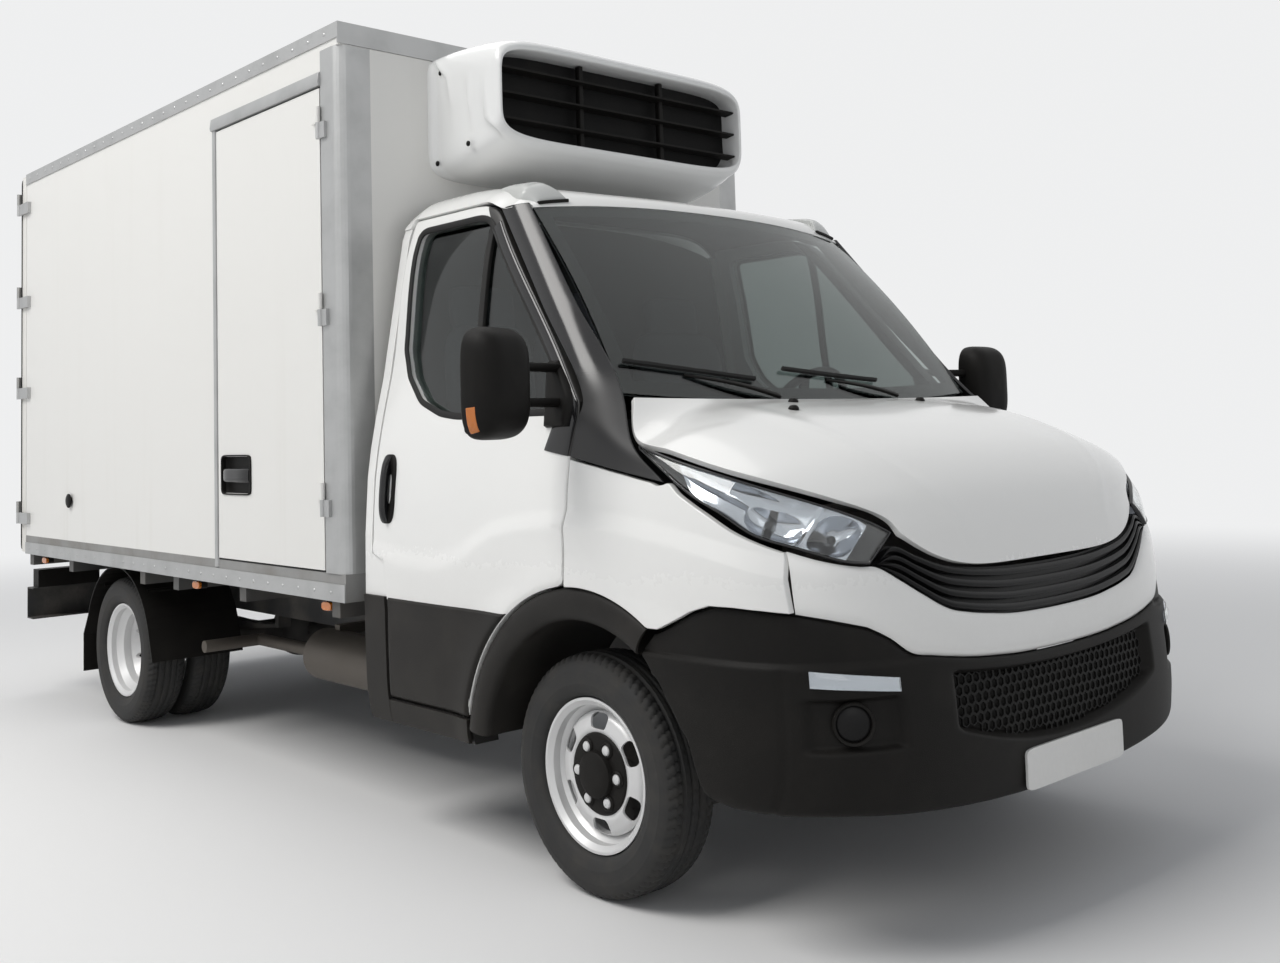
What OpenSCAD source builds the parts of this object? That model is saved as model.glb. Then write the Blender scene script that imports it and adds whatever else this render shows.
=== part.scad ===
// Refrigerated truck: chassis cab with twin rear wheels, an insulated box and a front-wall cooling unit.
// Millimetres, +X forward, +Y to the vehicle's left, +Z up, the ground at Z = 0.
// Lengths are laid out from the front axle and moved together so that the origin is mid-length.

/* [Running gear] */
// Distance between the front and rear axles
wheelbase = 3450; // [3000:10:4100]
// Overall diameter of each tyre
tyre_d = 694; // [660:2:720]
// Section width of each tyre
tyre_w = 195; // [175:1:205]
// Diameter over the rim flanges
rim_d = 441; // [420:1:455]
// Width over the rim flanges
rim_w = 150; // [135:1:160]
// Distance between the middles of the front tyres
front_track = 1690; // [1640:2:1730]
// Distance between the middles of the outer rear tyres
rear_track = 1738; // [1700:2:1760]
// Distance between the middles of two twinned tyres
twin_pitch = 225; // [215:1:235]
// Radius of the front spindles
spindle_r = 32; // [26:1:36]
// Distance from the steering axis to the middle of the front tyre
king_offset = 80; // [75:1:95]

/* [Frame] */
// Height of the frame rail section
rail_h = 172; // [150:1:180]
// Width of the frame rail flanges
rail_w = 70; // [60:1:80]
// Plate thickness of the frame rails
rail_t = 6; // [5:1:9]
// Height of the top of the frame rails above the ground
rail_top = 672; // [660:1:680]
// Distance over the two frame rails
frame_w = 860; // [820:2:880]

/* [Box body] */
// Length of the box with its rear doors
box_l = 3470; // [3000:10:4200]
// Overall width of the box
box_w = 2104; // [2050:2:2200]
// Height of the underside of the box above the ground
box_z = 761; // [756:1:780]
// Thickness of the insulated walls
wall_t = 78; // [60:1:90]
// Thickness of the insulated floor
floor_t = 98; // [80:1:110]
// Thickness of the rear doors
rear_door_t = 66; // [55:1:75]
// Plate thickness of the aluminium edging
edge_t = 5; // [3:1:8]
// Height of the upper side rails
top_rail = 58; // [45:1:75]
// Height of the lower side rails
low_rail = 62; // [50:1:75]
// Length of the front corner posts along the side
post_l = 128; // [120:1:150]
// Width of the side door opening
side_door_w = 880; // [750:5:950]
// Height of the side door opening above the load floor
side_door_h = 1772; // [1500:5:1780]

/* [Cooling unit] */
// Width of the cooling unit at the wall
cooler_w = 1340; // [1100:10:1500]
// Height of the cooling unit at the wall
cooler_h = 490; // [420:5:520]
// Depth of the cooling unit
cooler_d = 408; // [330:5:430]
// Distance from the top of the box down to the top of the unit
cooler_drop = 50; // [40:2:70]
// Free height between the cab roof and the cooling unit
cooler_gap = 101; // [60:1:200]

/* [Cab] */
// Largest half width of the cab
cab_half_w = 1005; // [980:1:1020]
// Distance from the front axle to the front of the bumper
front_overhang = 1000; // [970:2:1030]
// Distance from the front axle back to the rear of the cab
cab_rear = 1100; // [1080:2:1110]
// Height of the lower edge of the sills
sill_z = 365; // [345:1:380]
// Height of the top of the roof
roof_z = 2200; // [2180:2:2230]
// Thickness of the doors and fixed cab sides
door_t = 92; // [80:1:96]
// Gap round the cab doors, the bonnet and the lamps
shut_gap = 7; // [6:0.5:10]
// Thickness of the cab glass
glass_t = 8; // [6:1:10]
// Radius of the front wheel arches
arch_r = 456; // [450:1:462]
// Distance from the front axle forward to the middle of the wheel arch
arch_x = 50; // [45:1:60]
// Width of the wheel arch lips
lip_w = 90; // [70:1:95]

/* [Hidden] */
$fn = 48;

// Clearance at pins and bores
run_gap = 0.3;
// Gap between two panels of one body
seam_gap = 4;
// Free length between the rear of the cab and the box
cab_gap = 63;
// Reach of the underrun bar behind the box
bar_reach = 26;
wheel_r = tyre_d / 2;
box_front = -(cab_rear + cab_gap);
box_rear = box_front - box_l;
wall_rear = box_rear + rear_door_t + 2;
box_top = roof_z + cooler_gap + cooler_h + cooler_drop;
box_h = box_top - box_z;
load_z = box_z + floor_t;
wall_y = box_w / 2 - edge_t;
wall_top = box_top - edge_t - wall_t;
bar_rear = box_rear - bar_reach;
mid_x = (front_overhang + bar_rear) / 2;
rail_bottom = rail_top - rail_h;
rail_in = frame_w / 2 - rail_w;
rail_y = frame_w / 2;
rear_x = -wheelbase;
king_y = front_track / 2 - king_offset;
twin_y = rear_track / 2 - twin_pitch / 2;

// Cab stations are drawn for a roof at 2200 and a half width of 1005, 1000 ahead of and 1100 behind the axle.
// The first three bring a length, a half width and a height to the sizes above.
function cx(x) = x * (x > 0 ? front_overhang / 1000 : cab_rear / 1100);
function cy(y) = y * cab_half_w / 1005;
function cz(z) = z * roof_z / 2200;
function cab_xz(list) = [for (p = list) [cx(p[0]), cz(p[1])]];
function cab_xyz(p) = [cx(p[0]), cy(p[1]), cz(p[2])];
function heights(list) = [for (z = list) cz(z)];

// Half width of the cab: [height, distance inside the largest half width]
width_tab = [for (r = [[200, 105], [300, 65], [360, 30], [450, 10], [600, 2], [800, 0], [1000, 2], [1200, 15],
                       [1300, 30], [1400, 50], [1550, 85], [2050, 175], [2130, 205]]) [cz(r[0]), cy(r[1])]];
// Front of the nose: [height, distance behind the front of the bumper]
nose_tab = [for (r = [[200, 100], [260, 60], [300, 30], [360, 8], [450, 0], [600, 5], [700, 15], [800, 25],
                      [900, 45], [1000, 65], [1100, 100], [1200, 160], [1300, 280]]) [cz(r[0]), cx(r[1])]];
// Where the straight flank turns into the nose, and how square the nose is in plan
blend_x = cx(350);
nose_m = 3.6;

function half_w(z) = cab_half_w - lookup(z, width_tab);
function nose_front(z) = front_overhang - lookup(z, nose_tab);
function lerp(a, b, u) = a + (b - a) * u;
function rise(u, m) = pow(max(0, min(1, u)), m);
// Half width of the nose at x, a thickness t inside its skin
function side_y(x, z, t = 0) =
    let (a = nose_front(z) - t - blend_x, b = half_w(z) - t)
    x <= blend_x ? b : b * pow(max(0, 1 - rise((x - blend_x) / a, nose_m)), 1 / nose_m);
// Point of the nose in plan, s from 0 at the flank to 1 in the middle; below 0, a length behind the turn
function nose_xy(s, z, t = 0) =
    let (a = nose_front(z) - t - blend_x, b = half_w(z) - t)
    s < 0 ? [blend_x + s, b]
          : [blend_x + a * pow(sin(90 * s), 2 / nose_m), b * pow(cos(90 * s), 2 / nose_m)];
function arc(mx, mz, r, a0, a1, n) =
    [for (i = [0:n]) let (a = lerp(a0, a1, i / n)) [mx + r * cos(a), mz + r * sin(a)]];
function round_rect(x0, z0, x1, z1, r, n = 4) = concat(
    arc(x0 + r, z0 + r, r, 180, 270, n), arc(x1 - r, z0 + r, r, 270, 360, n),
    arc(x1 - r, z1 - r, r, 0, 90, n), arc(x0 + r, z1 - r, r, 90, 180, n));
function back(list) = [for (i = [len(list) - 1:-1:0]) list[i]];
// A profile followed by its mirror image across the first axis
function both_halves(list) = concat(list, [for (p = back(list)) if (p[1] != 0) [p[0], -p[1]]]);

// A closed solid between two grids of points of the same size
module panel(outer, inner, flip = false) {
    m = len(outer);
    n = len(outer[0]);
    k = m * n;
    pts = concat([for (r = outer) each r], [for (r = inner) each r]);
    quads = concat(
        [for (i = [0:m - 2], j = [0:n - 2]) let (a = i * n + j) [a, a + 1, a + n + 1, a + n]],
        [for (i = [0:m - 2], j = [0:n - 2]) let (a = k + i * n + j) [a, a + n, a + n + 1, a + 1]],
        [for (i = [0:m - 2]) [i * n, i * n + n, k + i * n + n, k + i * n]],
        [for (i = [0:m - 2]) let (e = i * n + n - 1) [e, k + e, k + e + n, e + n]],
        [for (j = [0:n - 2]) [j, k + j, k + j + 1, j + 1]],
        [for (j = [0:n - 2]) let (e = k - n + j) [e, e + 1, k + e + 1, k + e]]);
    tris = [for (q = quads) each [[q[0], q[1], q[2]], [q[0], q[2], q[3]]]];
    polyhedron(pts, flip ? [for (t = tris) [t[0], t[2], t[1]]] : tris, convexity = 6);
}
// A closed solid through rings of points of one count
module loft(rings) {
    m = len(rings);
    n = len(rings[0]);
    sides = [for (i = [0:m - 2], j = [0:n - 1])
        let (a = i * n + j, b = i * n + (j + 1) % n) each [[a, a + n, b + n], [a, b + n, b]]];
    polyhedron([for (r = rings) each r], concat(sides, [[for (j = [0:n - 1]) j]],
        [[for (j = [n - 1:-1:0]) (m - 1) * n + j]]), convexity = 6);
}
module shift() translate([-mid_x, 0, 0]) children();
module both_sides() for (s = [0, 1]) mirror([0, s, 0]) children();
module right_or_left(left) mirror([0, left ? 1 : 0, 0]) children();
module along_x(x0, x1) translate([x0, 0, 0]) rotate([90, 0, 90]) linear_extrude(x1 - x0) children();
module along_y(y0, y1) translate([0, y1, 0]) rotate([90, 0, 0]) linear_extrude(y1 - y0) children();
module along_z(z0, z1) translate([0, 0, z0]) linear_extrude(z1 - z0) children();
module block(x, y, z) translate([x[0], y[0], z[0]]) cube([x[1] - x[0], y[1] - y[0], z[1] - z[0]]);
module rod_y(x, z, r, y0, y1) translate([x, y0, z]) rotate([-90, 0, 0]) cylinder(r = r, h = y1 - y0);
module rod_x(y, z, r, x0, x1) translate([x0, y, z]) rotate([0, 90, 0]) cylinder(r = r, h = x1 - x0);

/* Frame and running gear */
rail_front = 640;
rail_rear = wall_rear + 60;
rail_mid = (rail_bottom + rail_top) / 2;
// Holes in the rail webs for a tow bar: distance ahead of the rail ends, pitch along and up, radius
tow_x = 420;
tow_pitch = 120;
tow_rise = 60;
tow_hole_r = 7;
module frame_rails() shift() color("DimGray") both_sides() difference() {
    along_x(rail_rear, rail_front) polygon([
        [-rail_y, rail_bottom], [-rail_in, rail_bottom], [-rail_in, rail_bottom + rail_t],
        [-rail_y + rail_t, rail_bottom + rail_t], [-rail_y + rail_t, rail_top - rail_t],
        [-rail_in, rail_top - rail_t], [-rail_in, rail_top], [-rail_y, rail_top]]);
    for (u = [-1, 1], v = [-1, 1])
        rod_y(rail_rear + tow_x + u * tow_pitch / 2, rail_mid + v * tow_rise / 2, tow_hole_r,
              -rail_y - 1, -rail_y + rail_t + 1);
}

// Crossmember section, and the places of the four crossmembers along the rails
cross_h = 90;
cross_w = 64;
cross_x = [-cab_rear + 240, (box_front + rear_x) / 2, rear_x + 560, rail_rear + 90];
module crossmembers() shift() color("DimGray")
    for (x = cross_x)
        block([x - cross_w / 2, x + cross_w / 2], [-rail_y + rail_t, rail_y - rail_t],
              [rail_top - rail_t - cross_h, rail_top - rail_t]);

// Runners along the rails and bearers across them carry the box
runner_h = 36;
runner_w = 60;
runner_in = 5;
bearer_w = 56;
bearer_seat = 6;
bearer_in = 12;
mud_clear = 50;
mud_r = wheel_r + mud_clear;
bearers = [box_front - 90, lerp(box_front, rear_x, 0.36), lerp(box_front, rear_x, 0.64), rear_x + mud_r + 60,
           rear_x - mud_r - 60, wall_rear + 60];
module subframe() shift() color("Gray") union() {
    both_sides()
        block([wall_rear + 20, box_front - 20], [-rail_y + runner_in, -rail_y + runner_in + runner_w],
              [rail_top, rail_top + runner_h]);
    for (x = bearers)
        block([x - bearer_w / 2, x + bearer_w / 2], [-wall_y + bearer_in, wall_y - bearer_in],
              [rail_top + runner_h - bearer_seat, box_z]);
}

// Front suspension: a beam between the rails and two arms on each side that hold the steering pin
beam_w = 110;
arm_t = 36;
arm_low = 196;
arm_high = 500;
arm_root = 95;
arm_end = 38;
king_r = 15;
function arm_plan() = both_halves([
    [-rail_y + 40, arm_root], [-rail_y - 20, arm_root], [-king_y + 34, arm_end], [-king_y, arm_end],
    [-king_y - 26, 26], [-king_y - 36, 0]]);
module arm(z) along_z(z, z + arm_t) polygon([for (p = arm_plan()) [p[1], p[0]]]);
module front_axle() shift() color("DarkSlateGray") difference() {
    union() {
        block([-beam_w / 2, beam_w / 2], [-rail_y, rail_y], [arm_low, rail_bottom]);
        both_sides() {
            arm(arm_low);
            arm(arm_high - arm_t);
            block([-60, 60], [-rail_y - 4, -rail_y + 60], [arm_low, arm_high]);
        }
    }
    both_sides() {
        translate([0, -king_y, arm_low - 10]) cylinder(r = king_r + run_gap, h = arm_high - arm_low + 20);
        block([-140, 140], [-rail_y - 30, -rail_y - 0.05 + 90], [rail_bottom, rail_bottom + 60]);
    }
}

// Steering knuckle: its barrel between the arms, the pin through them and the spindle
knuckle_r = 34;
disc_face = 28;
disc_y = front_track / 2 + disc_face;
spindle_end = 40;
knuckle_h = arm_high - arm_low - 2 * (arm_t + run_gap);
module knuckle(left) shift() color("SlateGray") right_or_left(left) union() {
    translate([0, -king_y, arm_low + arm_t + run_gap]) cylinder(r = knuckle_r, h = knuckle_h);
    translate([0, -king_y, arm_low + 4]) cylinder(r = king_r, h = arm_high - arm_low - 8);
    rod_y(0, wheel_r, spindle_r, -disc_y - spindle_end, -king_y + 10);
}
module knuckle_right() knuckle(false);
module knuckle_left() knuckle(true);

// Half section of a tyre, from inside its crown round to the outside: [radius, distance from its middle]
bead_r = rim_d / 2 - 16;
tyre_half = [
    [wheel_r - 14, tyre_w / 2 - 40], [wheel_r - 44, tyre_w / 2 - 20], [rim_d / 2 + 50, tyre_w / 2 - 16],
    [rim_d / 2 + 22, rim_w / 2 - 14], [bead_r, rim_w / 2 - 34], [bead_r, rim_w / 2 - 14],
    [rim_d / 2 + 3, rim_w / 2 - 13], [rim_d / 2 + 20, rim_w / 2 + 8], [rim_d / 2 + 46, tyre_w / 2 - 2],
    [rim_d / 2 + 62, tyre_w / 2], [wheel_r - 34, tyre_w / 2 - 8], [wheel_r - 12, tyre_w / 2 - 17],
    [wheel_r - 3, tyre_w / 2 - 30], [wheel_r, tyre_w / 2 - 52]];
module turned(y, away = false) translate([0, y, wheel_r]) rotate([away ? -90 : 90, 0, 0]) children();
module tyre(y) turned(y) rotate_extrude($fn = 72) polygon(both_halves(tyre_half));

// Rim section: flange, bead seat and well; the inner side is the outer one less the plate thickness
rim_t = 7;
flange_t = 8;
well_r = rim_d / 2 - 42;
module rim_section() polygon(concat(
    [[rim_d / 2, -rim_w / 2], [rim_d / 2, -rim_w / 2 + 12.5], [bead_r, -rim_w / 2 + 13.5],
     [bead_r, -rim_w / 2 + 38], [well_r, -rim_w / 2 + 50], [well_r, rim_w / 2 - 62], [bead_r, rim_w / 2 - 36],
     [bead_r, rim_w / 2 - 13.5], [rim_d / 2, rim_w / 2 - 12.5], [rim_d / 2, rim_w / 2]],
    [[rim_d / 2 - flange_t, rim_w / 2], [bead_r - rim_t, rim_w / 2 - 13], [bead_r - rim_t, rim_w / 2 - 38],
     [well_r - rim_t, rim_w / 2 - 64], [well_r - rim_t, -rim_w / 2 + 52], [bead_r - rim_t, -rim_w / 2 + 40],
     [bead_r - rim_t, -rim_w / 2 + 13], [rim_d / 2 - flange_t, -rim_w / 2]]));
module rim(y, away = false) turned(y, away) rotate_extrude($fn = 72) rim_section();

// Wheel discs: a domed plate with hand holes, wheel nuts and a hub
disc_t = 12;
bore_r = spindle_r + run_gap;
weld_r = well_r - 2;
dome_r = 150;
hub_r = 62;
hub_h = 34;
hand_holes = 8;
hand_hole_at = 141;
hand_hole_r = 15;
studs = 6;
stud_at = 85;
nut_r = 15;
nut_h = 22;
module ring_of(count, at, turn = 0)
    for (i = [0:count - 1]) rotate((i + turn) * 360 / count) translate([at, 0, 0]) children();
module front_disc() difference() {
    union() {
        rotate_extrude($fn = 72) translate([0, disc_face]) polygon([
            [bore_r, 0], [bore_r, disc_t], [105, disc_t], [122, disc_t + 12], [dome_r, disc_t + 10],
            [weld_r, -12], [weld_r, -26], [dome_r, -2], [122, 0], [108, 0]]);
        rotate_extrude() translate([0, disc_face + disc_t]) polygon([
            [bore_r, -1], [hub_r, -1], [hub_r - 4, hub_h], [bore_r, hub_h]]);
        translate([0, 0, disc_face + disc_t - 1]) ring_of(studs, stud_at)
            cylinder(r = nut_r, h = nut_h, $fn = 6);
    }
    translate([0, 0, disc_face - 60]) ring_of(hand_holes, hand_hole_at, 0.5)
        cylinder(r = hand_hole_r, h = 140, $fn = 24);
}
module front_wheel(left) shift() color("Silver") right_or_left(left) union() {
    rim(-front_track / 2);
    turned(-front_track / 2) front_disc();
}
module wheel_front_right() front_wheel(false);
module wheel_front_left() front_wheel(true);
module tyre_front_right() shift() color("DimGray") tyre(-front_track / 2);
module tyre_front_left() shift() color("DimGray") tyre(front_track / 2);

// Twin discs meet back to back between the two rims
axle_r = 58;
twin_hub_h = 62;
twin_hole_at = 153;
twin_hole_r = 13;
twin_half = [[bore_r, 12], [112, 12], [140, 22], [weld_r, twin_pitch / 2 - 22], [weld_r, twin_pitch / 2 - 36],
             [146, 8], [120, 0]];
module twin_disc() difference() {
    union() {
        rotate_extrude($fn = 72) polygon(both_halves(twin_half));
        translate([0, 0, 10]) cylinder(r = axle_r, h = twin_hub_h);
        translate([0, 0, 11]) ring_of(studs, stud_at) cylinder(r = nut_r, h = nut_h + 2, $fn = 6);
    }
    translate([0, 0, -40]) cylinder(r = bore_r, h = 100);
    translate([0, 0, -90]) ring_of(hand_holes, twin_hole_at, 0.5)
        cylinder(r = twin_hole_r, h = 180, $fn = 24);
}
module rear_wheels(left) shift() color("Silver") right_or_left(left) translate([rear_x, 0, 0]) union() {
    rim(-rear_track / 2);
    rim(-rear_track / 2 + twin_pitch, true);
    turned(-twin_y) twin_disc();
}
module wheels_rear_right() rear_wheels(false);
module wheels_rear_left() rear_wheels(true);
module rear_tyres(left) shift() color("DimGray") right_or_left(left) translate([rear_x, 0, 0]) {
    tyre(-rear_track / 2);
    tyre(-rear_track / 2 + twin_pitch);
}
module tyres_rear_right() rear_tyres(false);
module tyres_rear_left() rear_tyres(true);

// Rear axle with its final drive, and the shaft up to the tail of the gearbox
shaft_z = 430;
shaft_r = 42;
drive_r = 150;
gear_tail = -760;
shaft_x = rear_x + drive_r - 40;
shaft_rise = shaft_z - wheel_r;
module rear_axle() shift() color("DarkSlateGray") union() {
    rod_y(rear_x, wheel_r, axle_r, -twin_y + 14, twin_y - 14);
    rod_y(rear_x, wheel_r, spindle_r, -twin_y - 60, twin_y + 60);
    translate([rear_x, 0, wheel_r]) sphere(r = drive_r);
    translate([shaft_x, 0, wheel_r]) rotate([0, 90 - atan(shaft_rise / (gear_tail - shaft_x)), 0])
        cylinder(r = shaft_r, h = norm([gear_tail - shaft_x, shaft_rise]) - 3);
}

// Leaf springs: bowed packs that thin towards their ends, with a shackle at each end
spring_l = 1150;
spring_bow = 40;
leaf_w = 66;
leaf_t = 14;
pack_t = 24;
shackle_l = 32;
leaf_y = rail_y - rail_w / 2;
spring_z = wheel_r + axle_r;
function leaf_line(top) = [for (i = [0:8]) let (u = i / 4 - 1)
    [u * spring_l / 2, spring_z + spring_bow * u * u + (top ? leaf_t + pack_t * (1 - abs(u)) : 0)]];
module leaf_springs() shift() color("DarkSlateGray") both_sides() translate([rear_x, 0, 0]) union() {
    along_y(-leaf_y - leaf_w / 2, -leaf_y + leaf_w / 2)
        polygon(concat(leaf_line(false), back(leaf_line(true))));
    for (s = [-1, 1]) let (x = s * (spring_l - shackle_l) / 2)
        block([x - shackle_l / 2, x + shackle_l / 2], [-leaf_y - leaf_w / 2, -leaf_y + leaf_w / 2],
              [spring_z + spring_bow - 4, rail_bottom]);
}

// Engine block ahead of the axle, bell housing, gearbox and two engine mounts
engine_w = 560;
engine_l = 450;
engine_top = 1080;
gear_w = 340;
gear_top = rail_top + 30;
bell_rear = -80;
mount_x = 260;
mount_l = 160;
module engine() shift() color("Gray") union() {
    block([rail_front - engine_l, rail_front], [-engine_w / 2, engine_w / 2], [rail_bottom + 20, engine_top]);
    block([bell_rear, rail_front - engine_l + 10], [-gear_w / 2, gear_w / 2], [rail_bottom + 10, gear_top]);
    block([gear_tail, bell_rear + 5], [-gear_w / 2, gear_w / 2], [rail_bottom - 120, gear_top]);
    both_sides()
        block([mount_x, mount_x + mount_l], [-rail_in, -engine_w / 2 + 10],
              [rail_bottom + 40, rail_top - 20]);
}

// Fuel tank on the left rail, from its brackets out to the line of the box
tank_l = 900;
tank_low = 330;
tank_r = 60;
tank_in = rail_y + 30;
tank_out = box_w / 2 - 142;
tank_x = (box_front + rear_x) / 2 - 60;
strap_w = 50;
module fuel_tank() shift() color("DimGray") union() {
    along_x(tank_x - tank_l / 2, tank_x + tank_l / 2)
        polygon(round_rect(tank_in, tank_low, tank_out, rail_top - 30, tank_r));
    for (x = [tank_x - tank_l / 4, tank_x + tank_l / 4])
        block([x - strap_w / 2, x + strap_w / 2], [rail_y, tank_in + 30], [rail_bottom + 20, rail_top - 20]);
}

// Exhaust: a silencer beside the right rail with pipes before and behind it and a tail turned outwards
pipe_y = -rail_y - 150;
pipe_z = 420;
pipe_r = 27;
muffler_r = 108;
muffler_x = box_front - 397;
muffler_l = 590;
tail_x = muffler_x - muffler_l - 610;
tail_y = -rail_y - 420;
hanger_w = 40;
module exhaust() shift() color("SlateGray") union() {
    rod_x(pipe_y, pipe_z, muffler_r, muffler_x - muffler_l, muffler_x);
    rod_x(pipe_y, pipe_z, pipe_r, tail_x, muffler_x - muffler_l + 5);
    rod_x(pipe_y, pipe_z, pipe_r, muffler_x - 5, muffler_x + 210);
    rod_y(tail_x, pipe_z, pipe_r, tail_y, pipe_y + 20);
    for (x = [muffler_x - muffler_l + 100, muffler_x - 100])
        block([x - hanger_w / 2, x + hanger_w / 2], [pipe_y, -rail_y], [rail_bottom + 10, rail_bottom + 50]);
}

// Underrun bar: a channel across the rear, open to the front, on two brackets at the rails
bar_h = 168;
bar_z = 402;
bar_t = 6;
bar_d = 92;
bar_in = 42;
bracket_t = 14;
bracket_l = 260;
bar_top = bar_z + bar_h;
module underrun_bar() shift() color("DimGray") union() {
    along_y(-box_w / 2 + bar_in, box_w / 2 - bar_in) polygon([
        [bar_rear, bar_z], [bar_rear + bar_d, bar_z], [bar_rear + bar_d, bar_z + bar_t],
        [bar_rear + bar_t, bar_z + bar_t], [bar_rear + bar_t, bar_top - bar_t],
        [bar_rear + bar_d, bar_top - bar_t], [bar_rear + bar_d, bar_top], [bar_rear, bar_top]]);
    both_sides() along_y(-rail_y - bracket_t, -rail_y) polygon([
        [bar_rear + 2, bar_z + 20], [bar_rear + bar_d, bar_z + 20], [rail_rear + bracket_l, rail_bottom + 20],
        [rail_rear + bracket_l, rail_top - 16], [rail_rear - 10, rail_top - 16],
        [bar_rear + 2, bar_top - 2]]);
}

// Mudguards over the twin wheels, with a flap behind and two stays to the rails
guard_t = 6;
guard_in = twin_y - twin_pitch / 2 - tyre_w / 2 - 8;
guard_out = rear_track / 2 + tyre_w / 2 + 14;
flap_x = -mud_r - 45;
flap_low = 200;
stay_r = 11;
stay_angles = [48, 132];
function guard_line() = concat(
    [[mud_r + 30, wheel_r - 10]], arc(0, wheel_r, mud_r + guard_t, 20, 160, 20),
    [[flap_x, wheel_r + 40], [flap_x, flap_low]],
    [[flap_x + guard_t, flap_low], [flap_x + guard_t, wheel_r + 36]],
    arc(0, wheel_r, mud_r, 158, 22, 20), [[mud_r + 30 - guard_t, wheel_r - 10]]);
module mudguards() shift() color("DimGray") both_sides() translate([rear_x, 0, 0]) union() {
    along_y(-guard_out, -guard_in) polygon(guard_line());
    for (a = stay_angles)
        rod_y((mud_r + 2) * cos(a), wheel_r + (mud_r + 2) * sin(a), stay_r, -guard_out + 40, -rail_y);
}

// Rear lamp clusters on top of the underrun bar
lamp_w = 330;
lamp_h = 96;
lamp_in = 70;
module lamps_rear() shift() color("FireBrick") both_sides()
    block([bar_rear + 10, bar_rear + bar_d], [-box_w / 2 + lamp_in, -box_w / 2 + lamp_in + lamp_w],
          [bar_top, bar_top + lamp_h]);

/* Box body */
// Gaps round the side door, and the raised inner sheet of the load floor
sd_gap = 10;
door_edge = 8;
floor_sheet_t = 2;
sd_front = box_front - post_l;
sd_rear = sd_front - side_door_w;
sd_top = load_z + side_door_h;
wall_in = wall_y - wall_t;
module box_floor() shift() color("Gainsboro") union() {
    block([wall_rear, box_front], [-wall_y, wall_y], [box_z, load_z]);
    block([wall_rear + sd_gap, box_front - wall_t - sd_gap], [-wall_in + sd_gap, wall_in - sd_gap],
          [load_z - 1, load_z + floor_sheet_t]);
}
module box_roof() shift() color("WhiteSmoke")
    block([wall_rear, box_front - edge_t], [-wall_y, wall_y], [wall_top, box_top - edge_t]);
module box_front_wall() shift() color("WhiteSmoke")
    block([box_front - wall_t, box_front], [-wall_y + post_l, wall_y - post_l], [load_z, wall_top]);
module side_wall() block([wall_rear, sd_front], [-wall_y, -wall_in], [load_z, wall_top]);
module box_left_wall() shift() color("WhiteSmoke") mirror([0, 1, 0]) side_wall();
module box_right_wall() shift() color("WhiteSmoke") difference() {
    side_wall();
    block([sd_rear, sd_front + 1], [-wall_y - 1, -wall_in + 1], [load_z - 1, sd_top]);
}

// Hinges: barrel radius, length of one knuckle, leaf length, and the axes of the side and rear doors
hinge_r = 9;
hinge_h = 60;
leaf_l = 46;
side_hinge_x = sd_front - 3;
side_hinge_y = -box_w / 2 - hinge_r - 1;
rear_hinge_x = box_rear - 15;
rear_hinge_y = box_w / 2 + 12;
side_hinge_z = [load_z + 200, load_z + side_door_h / 2, load_z + side_door_h - 200];
rear_hinge_z = [box_z + 160, box_z + box_h / 2 - 200, box_z + box_h / 2 + 300, box_top - 220];
module barrel(x, y, z) translate([x, y, z]) cylinder(r = hinge_r, h = hinge_h, $fn = 32);

// Edging: rounded corner posts, upper and lower side rails, a strip over the front wall, and hinge leaves
post_r = 46;
function post_plan() = concat(
    [[sd_front, -wall_in], [sd_front, -box_w / 2]],
    arc(box_front - post_r, -box_w / 2 + post_r, post_r, 270, 360, 6),
    [[box_front, -wall_y + post_l], [box_front - wall_t, -wall_y + post_l], [box_front - wall_t, -wall_in]]);
module box_edging() shift() color("DarkGray") {
    both_sides() {
        along_z(load_z, wall_top) polygon(post_plan());
        along_x(wall_rear, box_front - edge_t) polygon([
            [-box_w / 2, box_top - top_rail], [-wall_y, box_top - top_rail], [-wall_y, box_top - edge_t],
            [-wall_y + top_rail, box_top - edge_t], [-wall_y + top_rail, box_top], [-box_w / 2, box_top]]);
        block([wall_rear, box_front], [-box_w / 2, -wall_y], [box_z, box_z + low_rail]);
        for (z = rear_hinge_z) union() {
            barrel(rear_hinge_x, -rear_hinge_y, z);
            block([rear_hinge_x, wall_rear + 4], [-rear_hinge_y - 1, -box_w / 2 - 3], [z, z + hinge_h]);
            block([wall_rear + 1, wall_rear + 70], [-rear_hinge_y - 1, -wall_y], [z, z + hinge_h]);
        }
    }
    for (z = side_hinge_z) union() {
        barrel(side_hinge_x, side_hinge_y, z);
        block([side_hinge_x, side_hinge_x + leaf_l], [side_hinge_y - 1, -box_w / 2 + 1], [z, z + hinge_h]);
    }
    block([box_front - edge_t, box_front], [-box_w / 2, box_w / 2], [wall_top + 4, box_top]);
}

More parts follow.
